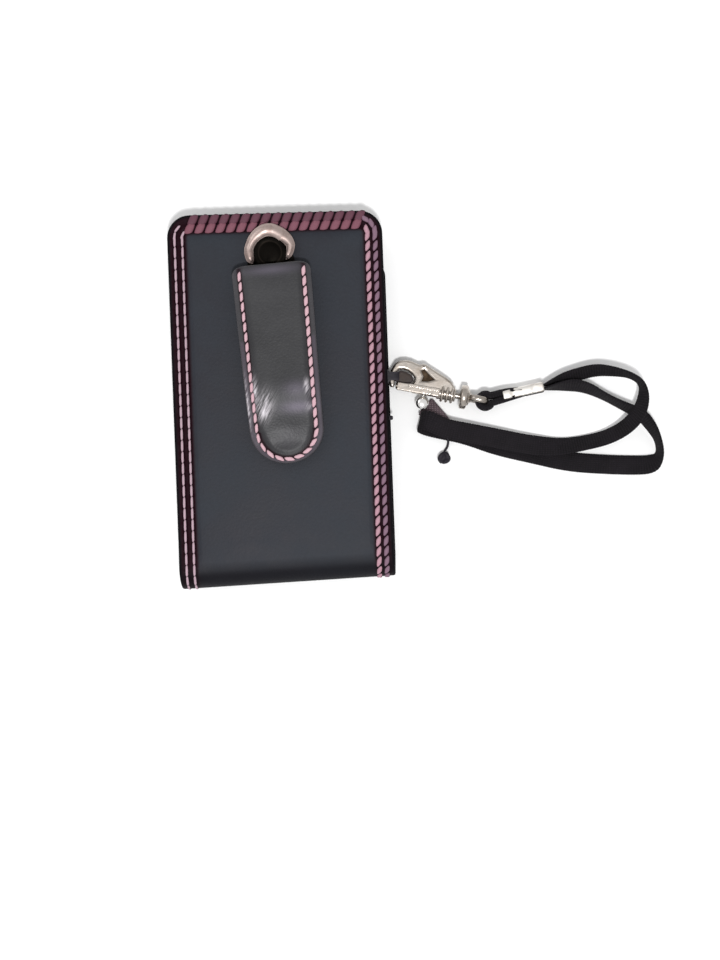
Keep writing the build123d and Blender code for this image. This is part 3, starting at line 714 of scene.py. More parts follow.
def add_fold_corner():
    """The strap's folded end stands up in a small corner that leans towards the snap; its lighter webbing is
    painted light on the side that faces the lamp.
    """
    left = Vector((47.6, -6.6, 1.2)) * MM
    right = Vector((58.6, -9.8, 1.2)) * MM
    tip = Vector((52.4, -1.6, 1.5)) * MM
    half_thick = 0.4 * MM
    rows, columns = 12, 8
    outer, inner = [], []
    for r in range(rows + 1):
        rise = r / rows * 0.96
        start, end = left.lerp(tip, rise), right.lerp(tip, rise ** 0.7)
        row_out, row_in = [], []
        for k in range(columns + 1):
            share = k / columns
            point = start.lerp(end, share)
            swell = 2.6 * MM * math.sin(math.pi * (0.25 + 0.5 * share)) * (1 - rise) ** 1.5
            row_out.append((point.x, point.y, point.z + swell + half_thick))
            row_in.append((point.x, point.y, point.z + swell - half_thick))
        outer.append(row_out)
        inner.append(row_in)
    shape = shell(outer, inner)
    corner = show("strap_fold_corner", shape, painted_lit_webbing, "lanyard")
    set_uv(corner, [(x, y) for x, y, _ in shape[0]])
    return corner


# ---- pouch leather: one wrap from the back round the bottom to the front ----
seam_depth = 0.5 * MM
back_length = pouch_top - bend_y
arc_length = math.pi * bend_radius
front_length = front_top - bend_y
front_overhang = 0.7 * MM


def settled(x, y):
    """Where a point of the soft pouch ends up: it lies a little out of square."""
    down = (pouch_top - y) / (pouch_top - pouch_bottom)
    right = (x + half_width) / (2 * half_width)
    return x - 1.3 * MM * down, y + 1.5 * MM * (1 - right) * (1 - down) + 1.4 * MM * right * down


def wrap_point(run):
    """Point (y, z) and outward normal of the leather's outside, at a distance from its back edge."""
    if run < back_length:
        return pouch_top - run, pouch_depth, 0.0, 1.0
    if run < back_length + arc_length:
        angle = (run - back_length) / bend_radius
        return (bend_y - bend_radius * math.sin(angle), bend_radius + bend_radius * math.cos(angle),
                -math.sin(angle), math.cos(angle))
    return bend_y + run - back_length - arc_length, 0.0, 0.0, -1.0


def rounded_half(distance, corner, half):
    """Half the width of a rounded end, at a distance from that end."""
    if distance >= corner:
        return half
    return half - corner + math.sqrt(max(corner**2 - (corner - distance) ** 2, 0.0))


def edge_distance(x, y):
    """How far a point of the back is inside its left, top and right edges."""
    side = abs(x) - (half_width - back_corner)
    above = y - (pouch_top - back_corner)
    if side > 0 and above > 0:
        return back_corner - math.hypot(side, above)
    return min(half_width - abs(x), pouch_top - y)


def back_relief(x, y):
    """How deep the leather's back lies below its flat plane: pressed in along the seams, soft between."""
    inside = edge_distance(x, y)
    groove = sum(bell(inside - row, 0.75 * MM) for row in (outer_row, inner_row))
    valley = bell(inside - 7.2 * MM, 0.8 * MM)
    band = clamp((7.6 * MM - inside) / MM)
    clear_of_stud = clamp((math.hypot(x - stud_x, y - stud_y) - 9 * MM) / (6 * MM))
    crown = clamp((inside - 7 * MM) / (14 * MM))
    slow_wave = noise.noise(Vector((x, y, 0)) * 38) * 0.16 * MM
    quick_wave = noise.noise(Vector((x, y, 3)) * 110) * 0.05 * MM
    puff = (crown * (2 - crown) * 0.3 * MM + (slow_wave + quick_wave) * crown) * clear_of_stud
    return seam_depth * groove + 0.22 * MM * valley + 0.15 * MM * band - puff


def add_pouch_leather():
    radius = leather / 2
    total = back_length + arc_length + front_length
    back_rows = [back_corner * (1 - math.cos(math.radians(90 * k / 24))) for k in range(24)]
    rows = spaced((back_corner, back_length - 2 * MM, 1.6 * MM),
                  (back_length - 2 * MM, back_length + arc_length + 2 * MM, 1.0 * MM),
                  (back_length + arc_length + 2 * MM, total - front_corner, 2 * MM))
    front_rows = [total - front_corner * (1 - math.sin(math.radians(90 * k / 10))) for k in range(1, 11)]
    runs = [max(run, radius) for run in back_rows[3:]] + rows + [min(r, total - radius) for r in front_rows]
    runs = sorted(set(runs))
    shares = spaced((0, 29 * MM, 2.2 * MM), (29 * MM, half_width - radius, 0.36 * MM))
    columns = [-s for s in reversed(shares[1:])] + shares
    reach = half_width - radius
    outer, inner, seam, rim = [], [], [], []
    for run in runs:
        y, z, ny, nz = wrap_point(run)
        on_back = run < back_length
        if on_back:
            wide = rounded_half(run - radius, back_corner - radius, reach)
        else:
            wide = rounded_half(total - radius - run, front_corner - radius, reach)
        shift = front_overhang * clamp((run - back_length) / arc_length)
        # Painted shade: the rim colour covers the bottom roll and the front, from the bend on.
        bent = clamp((run - back_length + 2 * MM) / (6 * MM), 0.75)
        row_out, row_in = [], []
        for column in columns:
            x = column / reach * wide
            down = 0.0
            if on_back:
                down = back_relief(x, y) * clamp((back_length - run) / (6 * MM))
            row_out.append((*settled(x + shift, y - ny * down), z - nz * down))
            row_in.append((*settled(x + shift, y - ny * leather), z - nz * leather))
            inside = edge_distance(x, y)
            # Painted shade between the stitches: the stitched band goes maroon.
            painted_seam_shade = clamp((7.4 * MM - inside) / (1.0 * MM))
            seam.append(painted_seam_shade if z > bend_radius / 3 else 0.0)
            # Rim: painted shade along the rounded edges and over the bottom roll.
            rim.append(max(clamp((1.3 * MM - inside) / (0.5 * MM)), bent))
        outer.append(row_out)
        inner.append(row_in)
    piece = show("pouch_leather", shell(outer, inner), pouch_leather, "pouch", ["outer_leather"])
    set_attribute(piece, "seam", seam)
    # The leather's rounded rim gets the full painted edge shade.
    set_attribute(piece, "rim", rim, 1.0)
    cut(piece, window_cutter())


# ---- window and thumb notch in the front ----
window_half = (27 * MM, 43 * MM)
window_y = -8 * MM
window_corner = 4 * MM
notch_radius = 9 * MM


def rounded_outline(half_x, half_y, corner, centre_y=0.0, steps=6):
    """Points round a rectangle with rounded corners."""
    points = []
    for quarter, (sx, sy) in enumerate(((1, 1), (-1, 1), (-1, -1), (1, -1))):
        for k in range(steps + 1):
            angle = math.pi / 2 * (quarter + k / steps)
            points.append((sx * (half_x - corner) + corner * math.cos(angle),
                           centre_y + sy * (half_y - corner) + corner * math.sin(angle)))
    return points


def prism(outline, low, high):
    """A closed upright solid on a flat outline."""
    count = len(outline)
    vertices = [(x, y, low) for x, y in outline] + [(x, y, high) for x, y in outline]
    faces = [(k, (k + 1) % count, count + (k + 1) % count, count + k) for k in range(count)]
    faces.append(tuple(reversed(range(count))))
    faces.append(tuple(range(count, 2 * count)))
    return vertices, faces


def window_cutter(window_margin=0.0, notch_margin=0.0, top=3 * MM):
    """The shape of the window and the thumb notch, widened by the margins."""
    half_x, half_y = window_half
    window = rounded_outline(half_x + window_margin, half_y + window_margin, window_corner, window_y)
    notch = circle(0, front_top, notch_radius + notch_margin, 40)
    return joined(prism(window, -3 * MM, top), prism(notch, -3 * MM, top))


def cut(piece, cutter):
    """Takes a closed shape out of a piece, for good."""
    mesh = bpy.data.meshes.new("cutter")
    mesh.from_pydata([tuple(v) for v in cutter[0]], [], cutter[1])
    tool = bpy.data.objects.new("cutter", mesh)
    bpy.context.scene.collection.objects.link(tool)
    modifier = piece.modifiers.new("cut", "BOOLEAN")
    modifier.object = tool
    modifier.operation = "DIFFERENCE"
    modifier.solver = "EXACT"
    bpy.context.view_layer.update()
    result = bpy.data.meshes.new_from_object(piece.evaluated_get(bpy.context.evaluated_depsgraph_get()))
    piece.modifiers.remove(modifier)
    old = piece.data
    piece.data = result
    result.name = piece.name
    bpy.data.meshes.remove(old)
    bpy.data.objects.remove(tool)
    bpy.data.meshes.remove(mesh)


add_pouch_leather()


# ---- stitches: short lengths of plied thread that bulge between their holes ----
def stitch(place, heading, normal, length, width, height, lean=0.0, square=1.0):
    """Vertices, faces, crest and uv of one stitch; lean slants its ends, square flattens its section."""
    normal = Vector(normal).normalized()
    forward = Vector(heading).normalized()
    side = normal.cross(forward)
    vertices, crest, uv = [], [], []
    rings, around = 13, 10
    for r in range(rings):
        t = math.sin(math.pi / 2 * (-1 + 2 * r / (rings - 1)))
        wide = max(1 - abs(t) ** 7, 0.02) ** 0.5
        tall = max(1 - abs(t) ** 3.5, 0.01) ** 0.5
        for k in range(around):
            angle = 2 * math.pi * k / around
            ply = 1 + 0.06 * math.cos(2 * angle + 5 * t)
            across = math.cos(angle) * width / 2 * wide * ply
            along = t * length / 2 - across * lean
            bulge = math.copysign(abs(math.sin(angle)) ** square, math.sin(angle))
            up = bulge * height / 2 * tall * ply - height * 0.15 * t * t
            vertices.append(place + forward * along + side * across + normal * up)
            # Crest: 1 on the thread's top, 0 on its sides and ends; the material paints highlight and shade by
            # it.
            crest.append(max(math.sin(angle), 0.0) ** square * tall)
            uv.append((t * 2, k / around * 2))
    return vertices, tube_faces(rings, around), crest, uv


def add_stitches(name, stitches, material, body, replaced=()):
    """One piece from a list of stitch() results."""
    piece = show(name, joined(*[(s[0], s[1]) for s in stitches]), material, body, replaced)
    set_attribute(piece, "crest", [c for s in stitches for c in s[2]])
    set_uv(piece, [uv for s in stitches for uv in s[3]])
    return piece


def heading(degrees):
    angle = math.radians(degrees)
    return Vector((math.cos(angle), math.sin(angle), 0))


seam_z = pouch_depth - 0.2 * MM
rope_pitch = 3.6 * MM
rope = {"length": 3.1 * MM, "width": 1.95 * MM, "height": 1.5 * MM, "lean": 0.95}
fine_pitch = 3.9 * MM
fine = {"length": 4.1 * MM, "width": 0.95 * MM, "height": 1.1 * MM, "lean": 0.6}
wide_pitch = 3.7 * MM
wide = {"length": 3.25 * MM, "width": 3.6 * MM, "height": 1.4 * MM, "lean": -0.45, "square": 0.35}


def side_row(x, high, pitch, thread):
    """Stitches down one side, from its corner over the bottom roll."""
    stitches = []
    for run in spaced((pouch_top - high, back_length + arc_length * 0.55, pitch)):
        y, z, ny, nz = wrap_point(run)
        sunk = pouch_depth - seam_z
        place = Vector((*settled(x, y - ny * sunk), z - nz * sunk))
        stitches.append(stitch(place, Vector((0, nz, -ny)), Vector((0, ny, nz)), **thread))
    return stitches


def corner_row(inset, sign, turns, thread):
    """Stitches round a top corner, at the given angles from its side."""
    radius = back_corner - inset
    stitches = []
    for turn in turns:
        x = sign * (half_width - back_corner + radius * math.cos(math.radians(turn)))
        y = pouch_top - back_corner + radius * math.sin(math.radians(turn))
        stitches.append(stitch(Vector((*settled(x, y), seam_z)), heading(90 + sign * turn), UP, **thread))
    return stitches


def top_row(inset, phase):
    y = pouch_top - inset
    start, end = -half_width + 8.0 * MM + phase, half_width - 9.0 * MM + phase
    return [stitch(Vector((*settled(x, y), seam_z)), heading(1.6), UP, **wide)
            for x in spaced((start, end, wide_pitch))]


def add_back_stitching():
    """Each row: name, inset, turns at the corners, side thread, top thread, top inset, shift along the top."""
    side_high = pouch_top - back_corner - 1 * MM
    corner = {**rope, "lean": 0.7}
    rows = (("outer", outer_row, (8, 38, 66), grey_thread, deeper_shade_band_thread, 1.9 * MM, 1.3 * MM),
            ("inner", inner_row, (25,), side_thread, shaded_band_thread, 4.9 * MM, 0.0))
    for name, inset, turns, thread, over_thread, top_inset, phase in rows:
        right = side_row(half_width - inset, side_high, rope_pitch, rope)
        right += corner_row(inset, 1, turns, corner)
        add_stitches("right_thread_" + name, right, thread, "pouch")
        left = side_row(-half_width + inset, side_high, fine_pitch, fine)
        left += corner_row(inset, -1, turns[:2], {**fine, "length": 3.0 * MM})
        add_stitches("left_thread_" + name, left, pale_thread, "pouch")
        add_stitches("shaded_band_thread_" + name, top_row(top_inset, phase), over_thread, "pouch",
                     ["back_stitching_" + name])


add_back_stitching()


def add_front_stitching():
    """Flush rows in the front's grooves."""
    stitches = []
    low, high = bend_y + 4 * MM, front_top - 4 * MM
    count = int((high - low) / rope_pitch)
    for side in (-1, 1):
        for inset in (outer_row, inner_row):
            for k in range(count):
                place = Vector((side * (half_width - inset) + front_overhang,
                                low + (k + 0.5) * (high - low) / count, 0.3 * MM))
                stitches.append(stitch(place, heading(90), -UP, 3.4 * MM, 1.3 * MM, 0.9 * MM, 0.6))
    add_stitches("front_thread", stitches, side_thread, "pouch", ["front_stitching"])


def add_thread_end():
    """A cut thread that stands out of the pouch's right edge."""
    place = Vector((*settled(half_width + 0.3 * MM, -8.5 * MM), 9 * MM))
    end = stitch(place, heading(0), UP, 2.2 * MM, 1.6 * MM, 1.4 * MM)
    add_stitches("thread_end", [end], tail_thread, "pouch")


add_front_stitching()
add_thread_end()


# ---- gussets: soft bellows between the front and back edges ----
def add_gussets():
    """Each side wall follows the pocket's side: down its length, then round the bottom."""
    cloth = 0.7 * MM
    wall_x = 32.1 * MM
    edge_x = half_width - 1.1 * MM
    reach = bend_radius - leather - 0.1 * MM
    across = [(0.0, 0.0), (0.3, 0.02), (0.6, 0.12), (0.85, 0.5), (0.94, 0.85), (1.0, 1.0)]
    levels = through(across, 4)
    # Each step of the path is (y, turn from straight up, where to read the ripple).
    path = [(y, 0.0, y) for y in spaced((front_top, bend_y, 2.5 * MM))]
    path += [(bend_y, math.radians(a), 0.0) for a in range(10, 181, 10)]
    path += [(y, math.pi, y) for y in spaced((bend_y, front_top, 2.5 * MM))[1:]]
    for side, name in ((-1, "left_gusset"), (1, "right_gusset")):
        outer, inner = [], []
        for y, turn, ripple in path:
            rows = ([], [])
            for out, high in levels:
                sag = noise.noise(Vector((ripple * 70, out * 2, side))) * 0.25 * MM
                for row, inset in zip(rows, (0.0, cloth)):
                    x = side * (wall_x + (edge_x - wall_x) * high - inset * (1 - high) + sag * (1 - high))
                    r = reach * out - (inset if high > 0.5 else 0.0)
                    row.append((*settled(x, y - r * math.sin(turn)), bend_radius + r * math.cos(turn)))
            outer.append(rows[0])
            inner.append(rows[1])
        show(name + "_cloth", shell(outer, inner), gusset_cloth, "pouch", [name])


add_gussets()


# ---- tongue: two leathers sewn together over the sprung steel ----
tongue_top = -4.2 * MM
tongue_arc = -61.3 * MM
tongue_tip = -73.0 * MM
tongue_half = 13.7 * MM
tongue_end_half = 12.8 * MM
tongue_row = 2.6 * MM
tongue_cover = 1.2 * MM
steel_thickness = 1.0 * MM
# Underside of the steel, as (distance along the clip, height).
steel_line = through([(-4.4, 19.8), (-20, 19.9), (-38, 20.1), (-48, 20.2), (-56, 19.0), (-62, 17.3),
                      (-66.5, 16.4), (-73.5, 16.9)], 10) * MM


def steel_height(y):
    return float(np.interp(-y, -steel_line[:, 0], steel_line[:, 1]))


def tongue_width(y):
    """Half the tongue's width at a distance along the clip."""
    if y < tongue_arc:
        share = (tongue_arc - y) / (tongue_arc - tongue_tip)
        return tongue_end_half * math.sqrt(max(1 - share**2, 0))
    return tongue_end_half + (tongue_half - tongue_end_half) * (y - tongue_arc) / (tongue_top - tongue_arc)


def tongue_inside(x, y):
    if y < tongue_arc:
        return (tongue_end_half + tongue_arc - tongue_tip) / 2 - math.hypot(x, y - tongue_arc)
    return tongue_width(y) - abs(x)


def tongue_shape(x, y):
    """Height of the cover over its steel: sewn down along the edge, padded inside, dented near the tip."""
    inside = tongue_inside(x, y)
    pad = clamp((inside - 3.5 * MM) / (1.6 * MM))
    pad = pad * pad * (3 - 2 * pad)
    groove = bell(inside - tongue_row, 0.7 * MM)
    dish = bell(x + 0.5 * MM, 6 * MM) * bell(y + 60 * MM, 5.5 * MM)
    bump = bell(x - 5 * MM, 4.5 * MM) * bell(y + 49 * MM, 4 * MM)
    roll = clamp((y - tongue_top + 4 * MM) / (4 * MM))
    wave = noise.noise(Vector((x, y, 5)) * 70) * 0.12 * MM
    return (0.45 * MM * pad - 0.35 * MM * groove - 0.55 * MM * dish + 0.3 * MM * bump
            - 1.5 * MM * roll**2 + wave - 0.3 * MM)


def tongue_grid(low, shape, top, margin, columns=44):
    """Grid of points on a tongue-shaped sheet, at a height over the steel's underside."""
    rows = spaced((top, top - 6 * MM, 0.5 * MM), (top - 6 * MM, tongue_arc, 0.9 * MM))
    end_length = tongue_arc - tongue_tip
    rows += [tongue_arc - (end_length - margin) * math.sin(math.radians(a)) for a in range(3, 88, 3)]
    grid = []
    for y in rows:
        shrunk = tongue_arc + (y - tongue_arc) * end_length / (end_length - margin)
        half = tongue_width(min(y, shrunk))
        wide = rounded_half(top - y, 3 * MM, half - margin * (half / tongue_end_half))
        row = []
        for k in range(columns + 1):
            x = wide * math.sin(math.pi / 2 * (-1 + 2 * k / columns))
            row.append((x, y, steel_height(y) + low + shape(x, y)))
        grid.append(row)
    return np.array(grid)


# Painted highlights as (x, y, half width, half height, strength) on the clip: white ones along the creases,
# then soft sheen where the surface faces the light.
crease_highlight_marks = [(-7.3, -54.3, 2.2, 3.0, 1.0), (-9.6, -47.5, 1.0, 4.0, 1.0), (8.4, -47.6, 0.8, 2.4, 0.9),
                 (-5.5, -50.5, 2.2, 3.2, 0.45), (8.6, -54.4, 1.2, 1.2, 0.5), (-12.4, -52.0, 0.5, 7.0, 0.9)]
painted_sheen_marks = [(4.7, -54.0, 5.4, 2.0, 1.0), (4.9, -48.0, 4.2, 2.6, 0.6), (1.0, -64.0, 7.0, 4.5, 0.1),
              (0.0, -6.5, 9.0, 1.6, 0.6)]


def tongue_marks(grid, marks):
    """Strength of a set of soft-edged marks at each point of a grid."""
    strengths = []
    for x, y, _ in grid.reshape(-1, 3):
        total = 0.0
        for at_x, at_y, wide, high, strength in marks:
            total += strength * bell(x / MM - at_x, wide) * bell(y / MM - at_y, high)
        strengths.append(min(total, 1))
    return strengths


def add_tongue_cover():
    """The upper leather, padded, sewn and unevenly worn, with painted highlights along its creases, top, tip
    and edge.
    """
    margin = 0.6 * MM
    top = tongue_top - margin
    outer = tongue_grid(steel_thickness + tongue_cover, tongue_shape, top, margin)
    inner = tongue_grid(steel_thickness, lambda x, y: min(tongue_shape(x, y), 0.0), top, margin)
    shape = shell(placed(outer, clip_frame), placed(inner, clip_frame))
    cover = show("tongue_cover_leather", shape, tongue_leather, "clip_tongue", ["tongue_cover"])
    insides = [tongue_inside(x, y) for x, y, _ in outer.reshape(-1, 3)]
    # Seam: the band along the stitches, painted maroon with painted shade between them.
    seam = [math.exp(-((i - tongue_row) / (0.85 * MM)) ** 4) for i in insides]
    # Rim: painted highlight along the edge, strong round the tip and faint up the sides.
    rim = [clamp((1.9 * MM - i) / (0.5 * MM)) * (0.12 if y > -30 * MM else 0.7)
           for i, (_, y, _) in zip(insides, outer.reshape(-1, 3))]
    marks = {"seam": seam, "rim": rim, "crease_highlight": tongue_marks(outer, crease_highlight_marks),
             "sheen_highlight": tongue_marks(outer, painted_sheen_marks)}
    for mark, values in marks.items():
        set_attribute(cover, mark, values)


def rough_flesh(x, y):
    return 0.12 * MM * noise.noise(Vector((x, y, 9)) * 200)


def add_tongue_lining():
    """The lower leather, under the steel and clear of the hinge."""
    margin = 0.45 * MM
    top = -15.8 * MM
    thickness = 0.9 * MM
    upper = tongue_grid(0.0, lambda x, y: 0.0, top, margin, 24)
    lower = tongue_grid(-thickness, rough_flesh, top, margin, 24)
    shape = shell(placed(upper, clip_frame), placed(lower, clip_frame))
    show("tongue_lining_leather", shape, tab_leather, "clip_tongue", ["tongue_lining"])


add_tongue_cover()
add_tongue_lining()


def tongue_seam(inset):
    """Places and headings of the stitches down one side of the tongue, round its end and up the other."""
    side_length = tongue_top - tongue_arc - 2 * MM
    end_radius = tongue_end_half - inset
    total = 2 * side_length + math.pi * end_radius
    count = round(total / (3.5 * MM))
    places = []
    for k in range(count):
        run = (k + 0.5) * total / count
        if run < side_length:
            y = tongue_top - 2 * MM - run
            places.append((-tongue_width(y) + inset, y, -90 + 1.0))
        elif run < total - side_length:
            turn = (run - side_length) / end_radius
            places.append((-end_radius * math.cos(turn), tongue_arc - end_radius * math.sin(turn),
                           -90 + math.degrees(turn)))
        else:
            y = tongue_arc + run - (total - side_length)
            places.append((tongue_width(y) - inset, y, 90 + 1.0))
    return places


def add_tongue_stitching():
    stitches = []
    for x, y, degrees in tongue_seam(tongue_row):
        low_y, high_y = y - 1.2 * MM, y + 1.2 * MM
        z = steel_height(y) + steel_thickness + tongue_cover - 0.35 * MM
        slope = (steel_height(high_y) - steel_height(low_y)) / (high_y - low_y)
        along = heading(degrees)
        along.z = slope * along.y
        turn = clip_frame.to_3x3()
        thin = x < -8 * MM
        stitches.append(stitch(clip_frame @ Vector((x, y, z)), turn @ along, turn @ Vector((0, -slope, 1)),
                               3.15 * MM, (1.3 if thin else 1.6) * MM, 1.3 * MM, 0.9))
    add_stitches("tongue_thread", stitches, tongue_thread, "clip_tongue", ["tongue_stitching"])


add_tongue_stitching()


# ---- clip head: open claw ring, base plate with hinge ears, and the stud inside the ring ----
head_low = 14.9 * MM
head_plate = 1.0 * MM
ring_centre = 1.4 * MM
ring_rise = 1.9 * MM
ears_at = 7.1 * MM
pin_y = -12 * MM
pin_z = 17.7 * MM


# The claw as (turn from its top in degrees, inner radius, outer radius).
claw = [(-122, 7.3, 7.9), (-112, 6.5, 8.5), (-97, 5.9, 8.4), (-89, 6.15, 8.3), (-68, 5.5, 7.9),
        (-49, 5.0, 7.9), (-30, 4.75, 8.1), (-10, 4.95, 8.35), (8, 4.7, 8.35), (30, 4.35, 8.0),
        (52, 4.2, 8.1), (64, 5.0, 8.3), (85, 6.3, 8.4), (100, 6.2, 7.9), (112, 6.0, 7.5), (125, 6.2, 6.8)]


def add_clip_ring():
    """A faceted claw: broad over its top, with a pointed arch inside and two blunt ends."""
    turns, bores, edges = (np.array(column, float) for column in zip(*claw))
    outer, inner = [], []
    for turn in spaced((turns[0], turns[-1], 2.0)):
        angle = math.radians(90 - turn)
        bore, edge = np.interp(turn, turns, bores) * MM, np.interp(turn, turns, edges) * MM
        taper = clamp(min(turn - turns[0], turns[-1] - turn) / 12)
        ridge = ring_rise * (0.5 + 0.5 * taper**0.5)
        row_out, row_in = [], []
        for share, high in ((0.0, 0.6), (0.12, 0.86), (0.5, 1.0), (0.86, 0.88), (1.0, 0.6)):
            radius = bore + (edge - bore) * share
            place = (radius * math.cos(angle), ring_centre + radius * math.sin(angle))
            row_out.append((*place, head_low + head_plate + ridge * high))
            row_in.append((*place, head_low + head_plate))
        outer.append(row_out)
        inner.append(row_in)
    shape = shell(placed(outer, clip_frame), placed(inner, clip_frame), 3)
    show("clip_ring", shape, ring_metal, "clip_base", ["clip_head"])


def add_clip_plate():
    """The stamped base that carries the ring and the hinge."""
    outline = rounded_outline(8.2 * MM, 10.9 * MM, 3 * MM, -11 * MM)
    disc = circle(0, ring_centre * 0.6, 7.6 * MM, 64)
    level = clip_frame @ Matrix.Translation((0, 0, head_low + head_plate / 2))
    parts = [flat_plate(shape, [], head_plate, 0.25 * MM, level) for shape in (outline, disc)]
    ear_radius = 1.7 * MM
    ear_foot = head_low + 0.4 * MM
    ear = [(pin_y + ear_radius * math.cos(a), pin_z + ear_radius * math.sin(a))
           for a in np.linspace(0, math.pi, 14)]
    ear += [(pin_y - ear_radius, ear_foot), (pin_y + ear_radius, ear_foot)]
    lengthwise = Matrix(((0, 0, 1, 0), (1, 0, 0, 0), (0, 1, 0, 0), (0, 0, 0, 1)))
    for side in (-1, 1):
        upright = clip_frame @ Matrix.Translation((side * ears_at, 0, 0)) @ lengthwise
        parts.append(flat_plate(ear, [], 1.2 * MM, 0.2 * MM, upright))
    show("clip_base_plate", joined(*parts), black_metal, "clip_base")


def add_stud():
    """Domed black cap with a shallow ring groove."""
    low = 15.95 * MM
    dome = [(0, 0.1), (0, 5.7), (0.3, 6.0), (0.8, 5.9), (1.1, 5.4), (1.2, 4.6), (0.95, 4.2), (0.95, 3.8),
            (1.2, 3.4), (1.35, 1.8), (1.4, 0.1)]
    profile = [(low + rise, radius) for rise, radius in in_mm(dome)]
    shape = turned_part(profile, clip_frame, "Z")
    show("stud_cap_dome", shape, black_metal, "pouch", ["stud_cap"])


add_clip_ring()
add_clip_plate()
add_stud()


# ---- bolt snap: cast hook and barrel, with its knob, bolt and swivel eye ----
def add_snap_body():
    """One casting: a heavy hook with two openings, over a barrel with a flat rail for the bolt."""
    arm = [(-26.4, -0.9), (-27.3, 0.6), (-27.6, 3.2), (-27.0, 5.6), (-26.1, 7.7), (-24.5, 8.8),
           (-22.4, 9.3), (-20.4, 9.2), (-18.6, 8.7), (-17.5, 8.5), (-16.4, 9.0), (-15.3, 9.0),
           (-14.0, 8.3), (-10.4, 6.8), (-7.6, 5.6), (-5.4, 4.4), (-4.2, 3.1), (-3.6, 1.6),
           (-3.6, -0.6), (-18.8, -0.9), (-18.8, 1.4), (-18.3, 2.4), (-18.5, 3.7), (-19.7, 4.9),
           (-21.3, 5.7), (-23.0, 6.0), (-24.4, 5.7), (-25.2, 4.6), (-25.4, 3.0), (-25.2, 1.3),
           (-25.0, 0.2), (-25.2, -0.9)]
    window = [(-16.5, 6.4), (-15.7, 6.9), (-14.9, 6.2), (-13.4, 5.1), (-11.7, 4.1), (-13.6, 3.3),
              (-15.8, 2.9), (-15.3, 4.6)]
    plate = flat_plate(in_mm(arm), [in_mm(window)], 3.9 * MM, 0.8 * MM, snap_frame)
    ridges = []
    for k in range(3):
        start = -8.6 + 1.75 * k
        ridges += [(start, 2.2), (start + 0.12, 2.85), (start + 0.4, 3.1), (start + 0.8, 3.05),
                   (start + 1.05, 2.7), (start + 1.2, 2.2)]
    profile = [(-18.7, 0.1), (-18.7, 1.6), (-18.4, 1.8), (-9.9, 1.8), (-9.6, 2.3), *ridges, (-3.4, 2.3),
               (-3.25, 1.9), (-3.25, 0.1)]
    barrel = turned_part(in_mm(profile), snap_frame)
    rail = flat_plate(rounded_outline(7.6 * MM, 1.35 * MM, 0.3 * MM), [], 3.4 * MM, 0.3 * MM,
                      snap_frame @ Matrix.Translation((-16.6 * MM, -0.2 * MM, 0.8 * MM)))
    step = flat_plate(rounded_outline(5.6 * MM, 0.55 * MM, 0.2 * MM), [], 4.4 * MM, 0.2 * MM,
                      snap_frame @ Matrix.Translation((-14.6 * MM, 0.7 * MM, 0.55 * MM)))
    hump = bar(in_mm([(-16.2, 8.0), (-15.9, 8.2)]), [0.9 * MM, 0.8 * MM], snap_frame, [2.4 * MM, 2.2 * MM])
    casting = joined(plate, barrel, rail, step, hump)
    show("snap_casting", casting, snap_metal, "snap", ["snap_body"])


def add_snap_recess():
    """The thin dark web behind the casting's window: painted shade that fills the window."""
    outline = [(-17.3, 7.0), (-15.7, 7.6), (-14.2, 6.5), (-10.6, 3.6), (-13.2, 2.6), (-16.4, 2.3)]
    web = flat_plate(in_mm(outline), [], 1.6 * MM, 0.2 * MM, snap_frame)
    show("snap_recess", web, painted_shade_metal, "snap")


def add_tab_fold():
    """The tab's folded end, gathered inside the hook, which it turns with; its brown fill of the hook's
    opening is partly painted shade.
    """
    outline = [(-25.0, 1.3), (-25.1, 3.0), (-24.7, 4.6), (-23.6, 5.5), (-21.6, 5.2), (-19.9, 4.5),
               (-18.9, 3.5), (-18.8, 2.4), (-19.5, 1.6), (-22.0, 1.2)]
    ends = flat_plate(in_mm(outline), [], 2.6 * MM, 0.8 * MM, snap_frame)
    show("side_tab_fold", ends, brown_painted_shade_leather, "snap")


def add_bolt_knob():
    """Short stem and a flattened ball that the thumb pulls."""
    at = snap_frame @ Matrix.Translation((-14.4 * MM, -4.7 * MM, 0))
    ball = []
    for k in range(17):
        a = math.pi * k / 16 - math.pi / 2
        ball.append((1.75 * MM * math.sin(a), max(2.4 * MM * math.cos(a) ** 0.75, 0.02 * MM)))
    stem = bar([(0, 4.0 * MM), (0, 2.6 * MM), (0, 1.5 * MM)], [0.8 * MM, 0.7 * MM, 1.0 * MM], at)
    knob = joined(turned_part(ball, at, "Z"), stem)
    show("bolt_thumb_knob", knob, knob_metal, "bolt", ["bolt_knob"])


def squarish(value):
    """A sine or cosine, pushed outwards so that a circle becomes a rounded square."""
    return math.copysign(abs(value) ** 0.7, value)


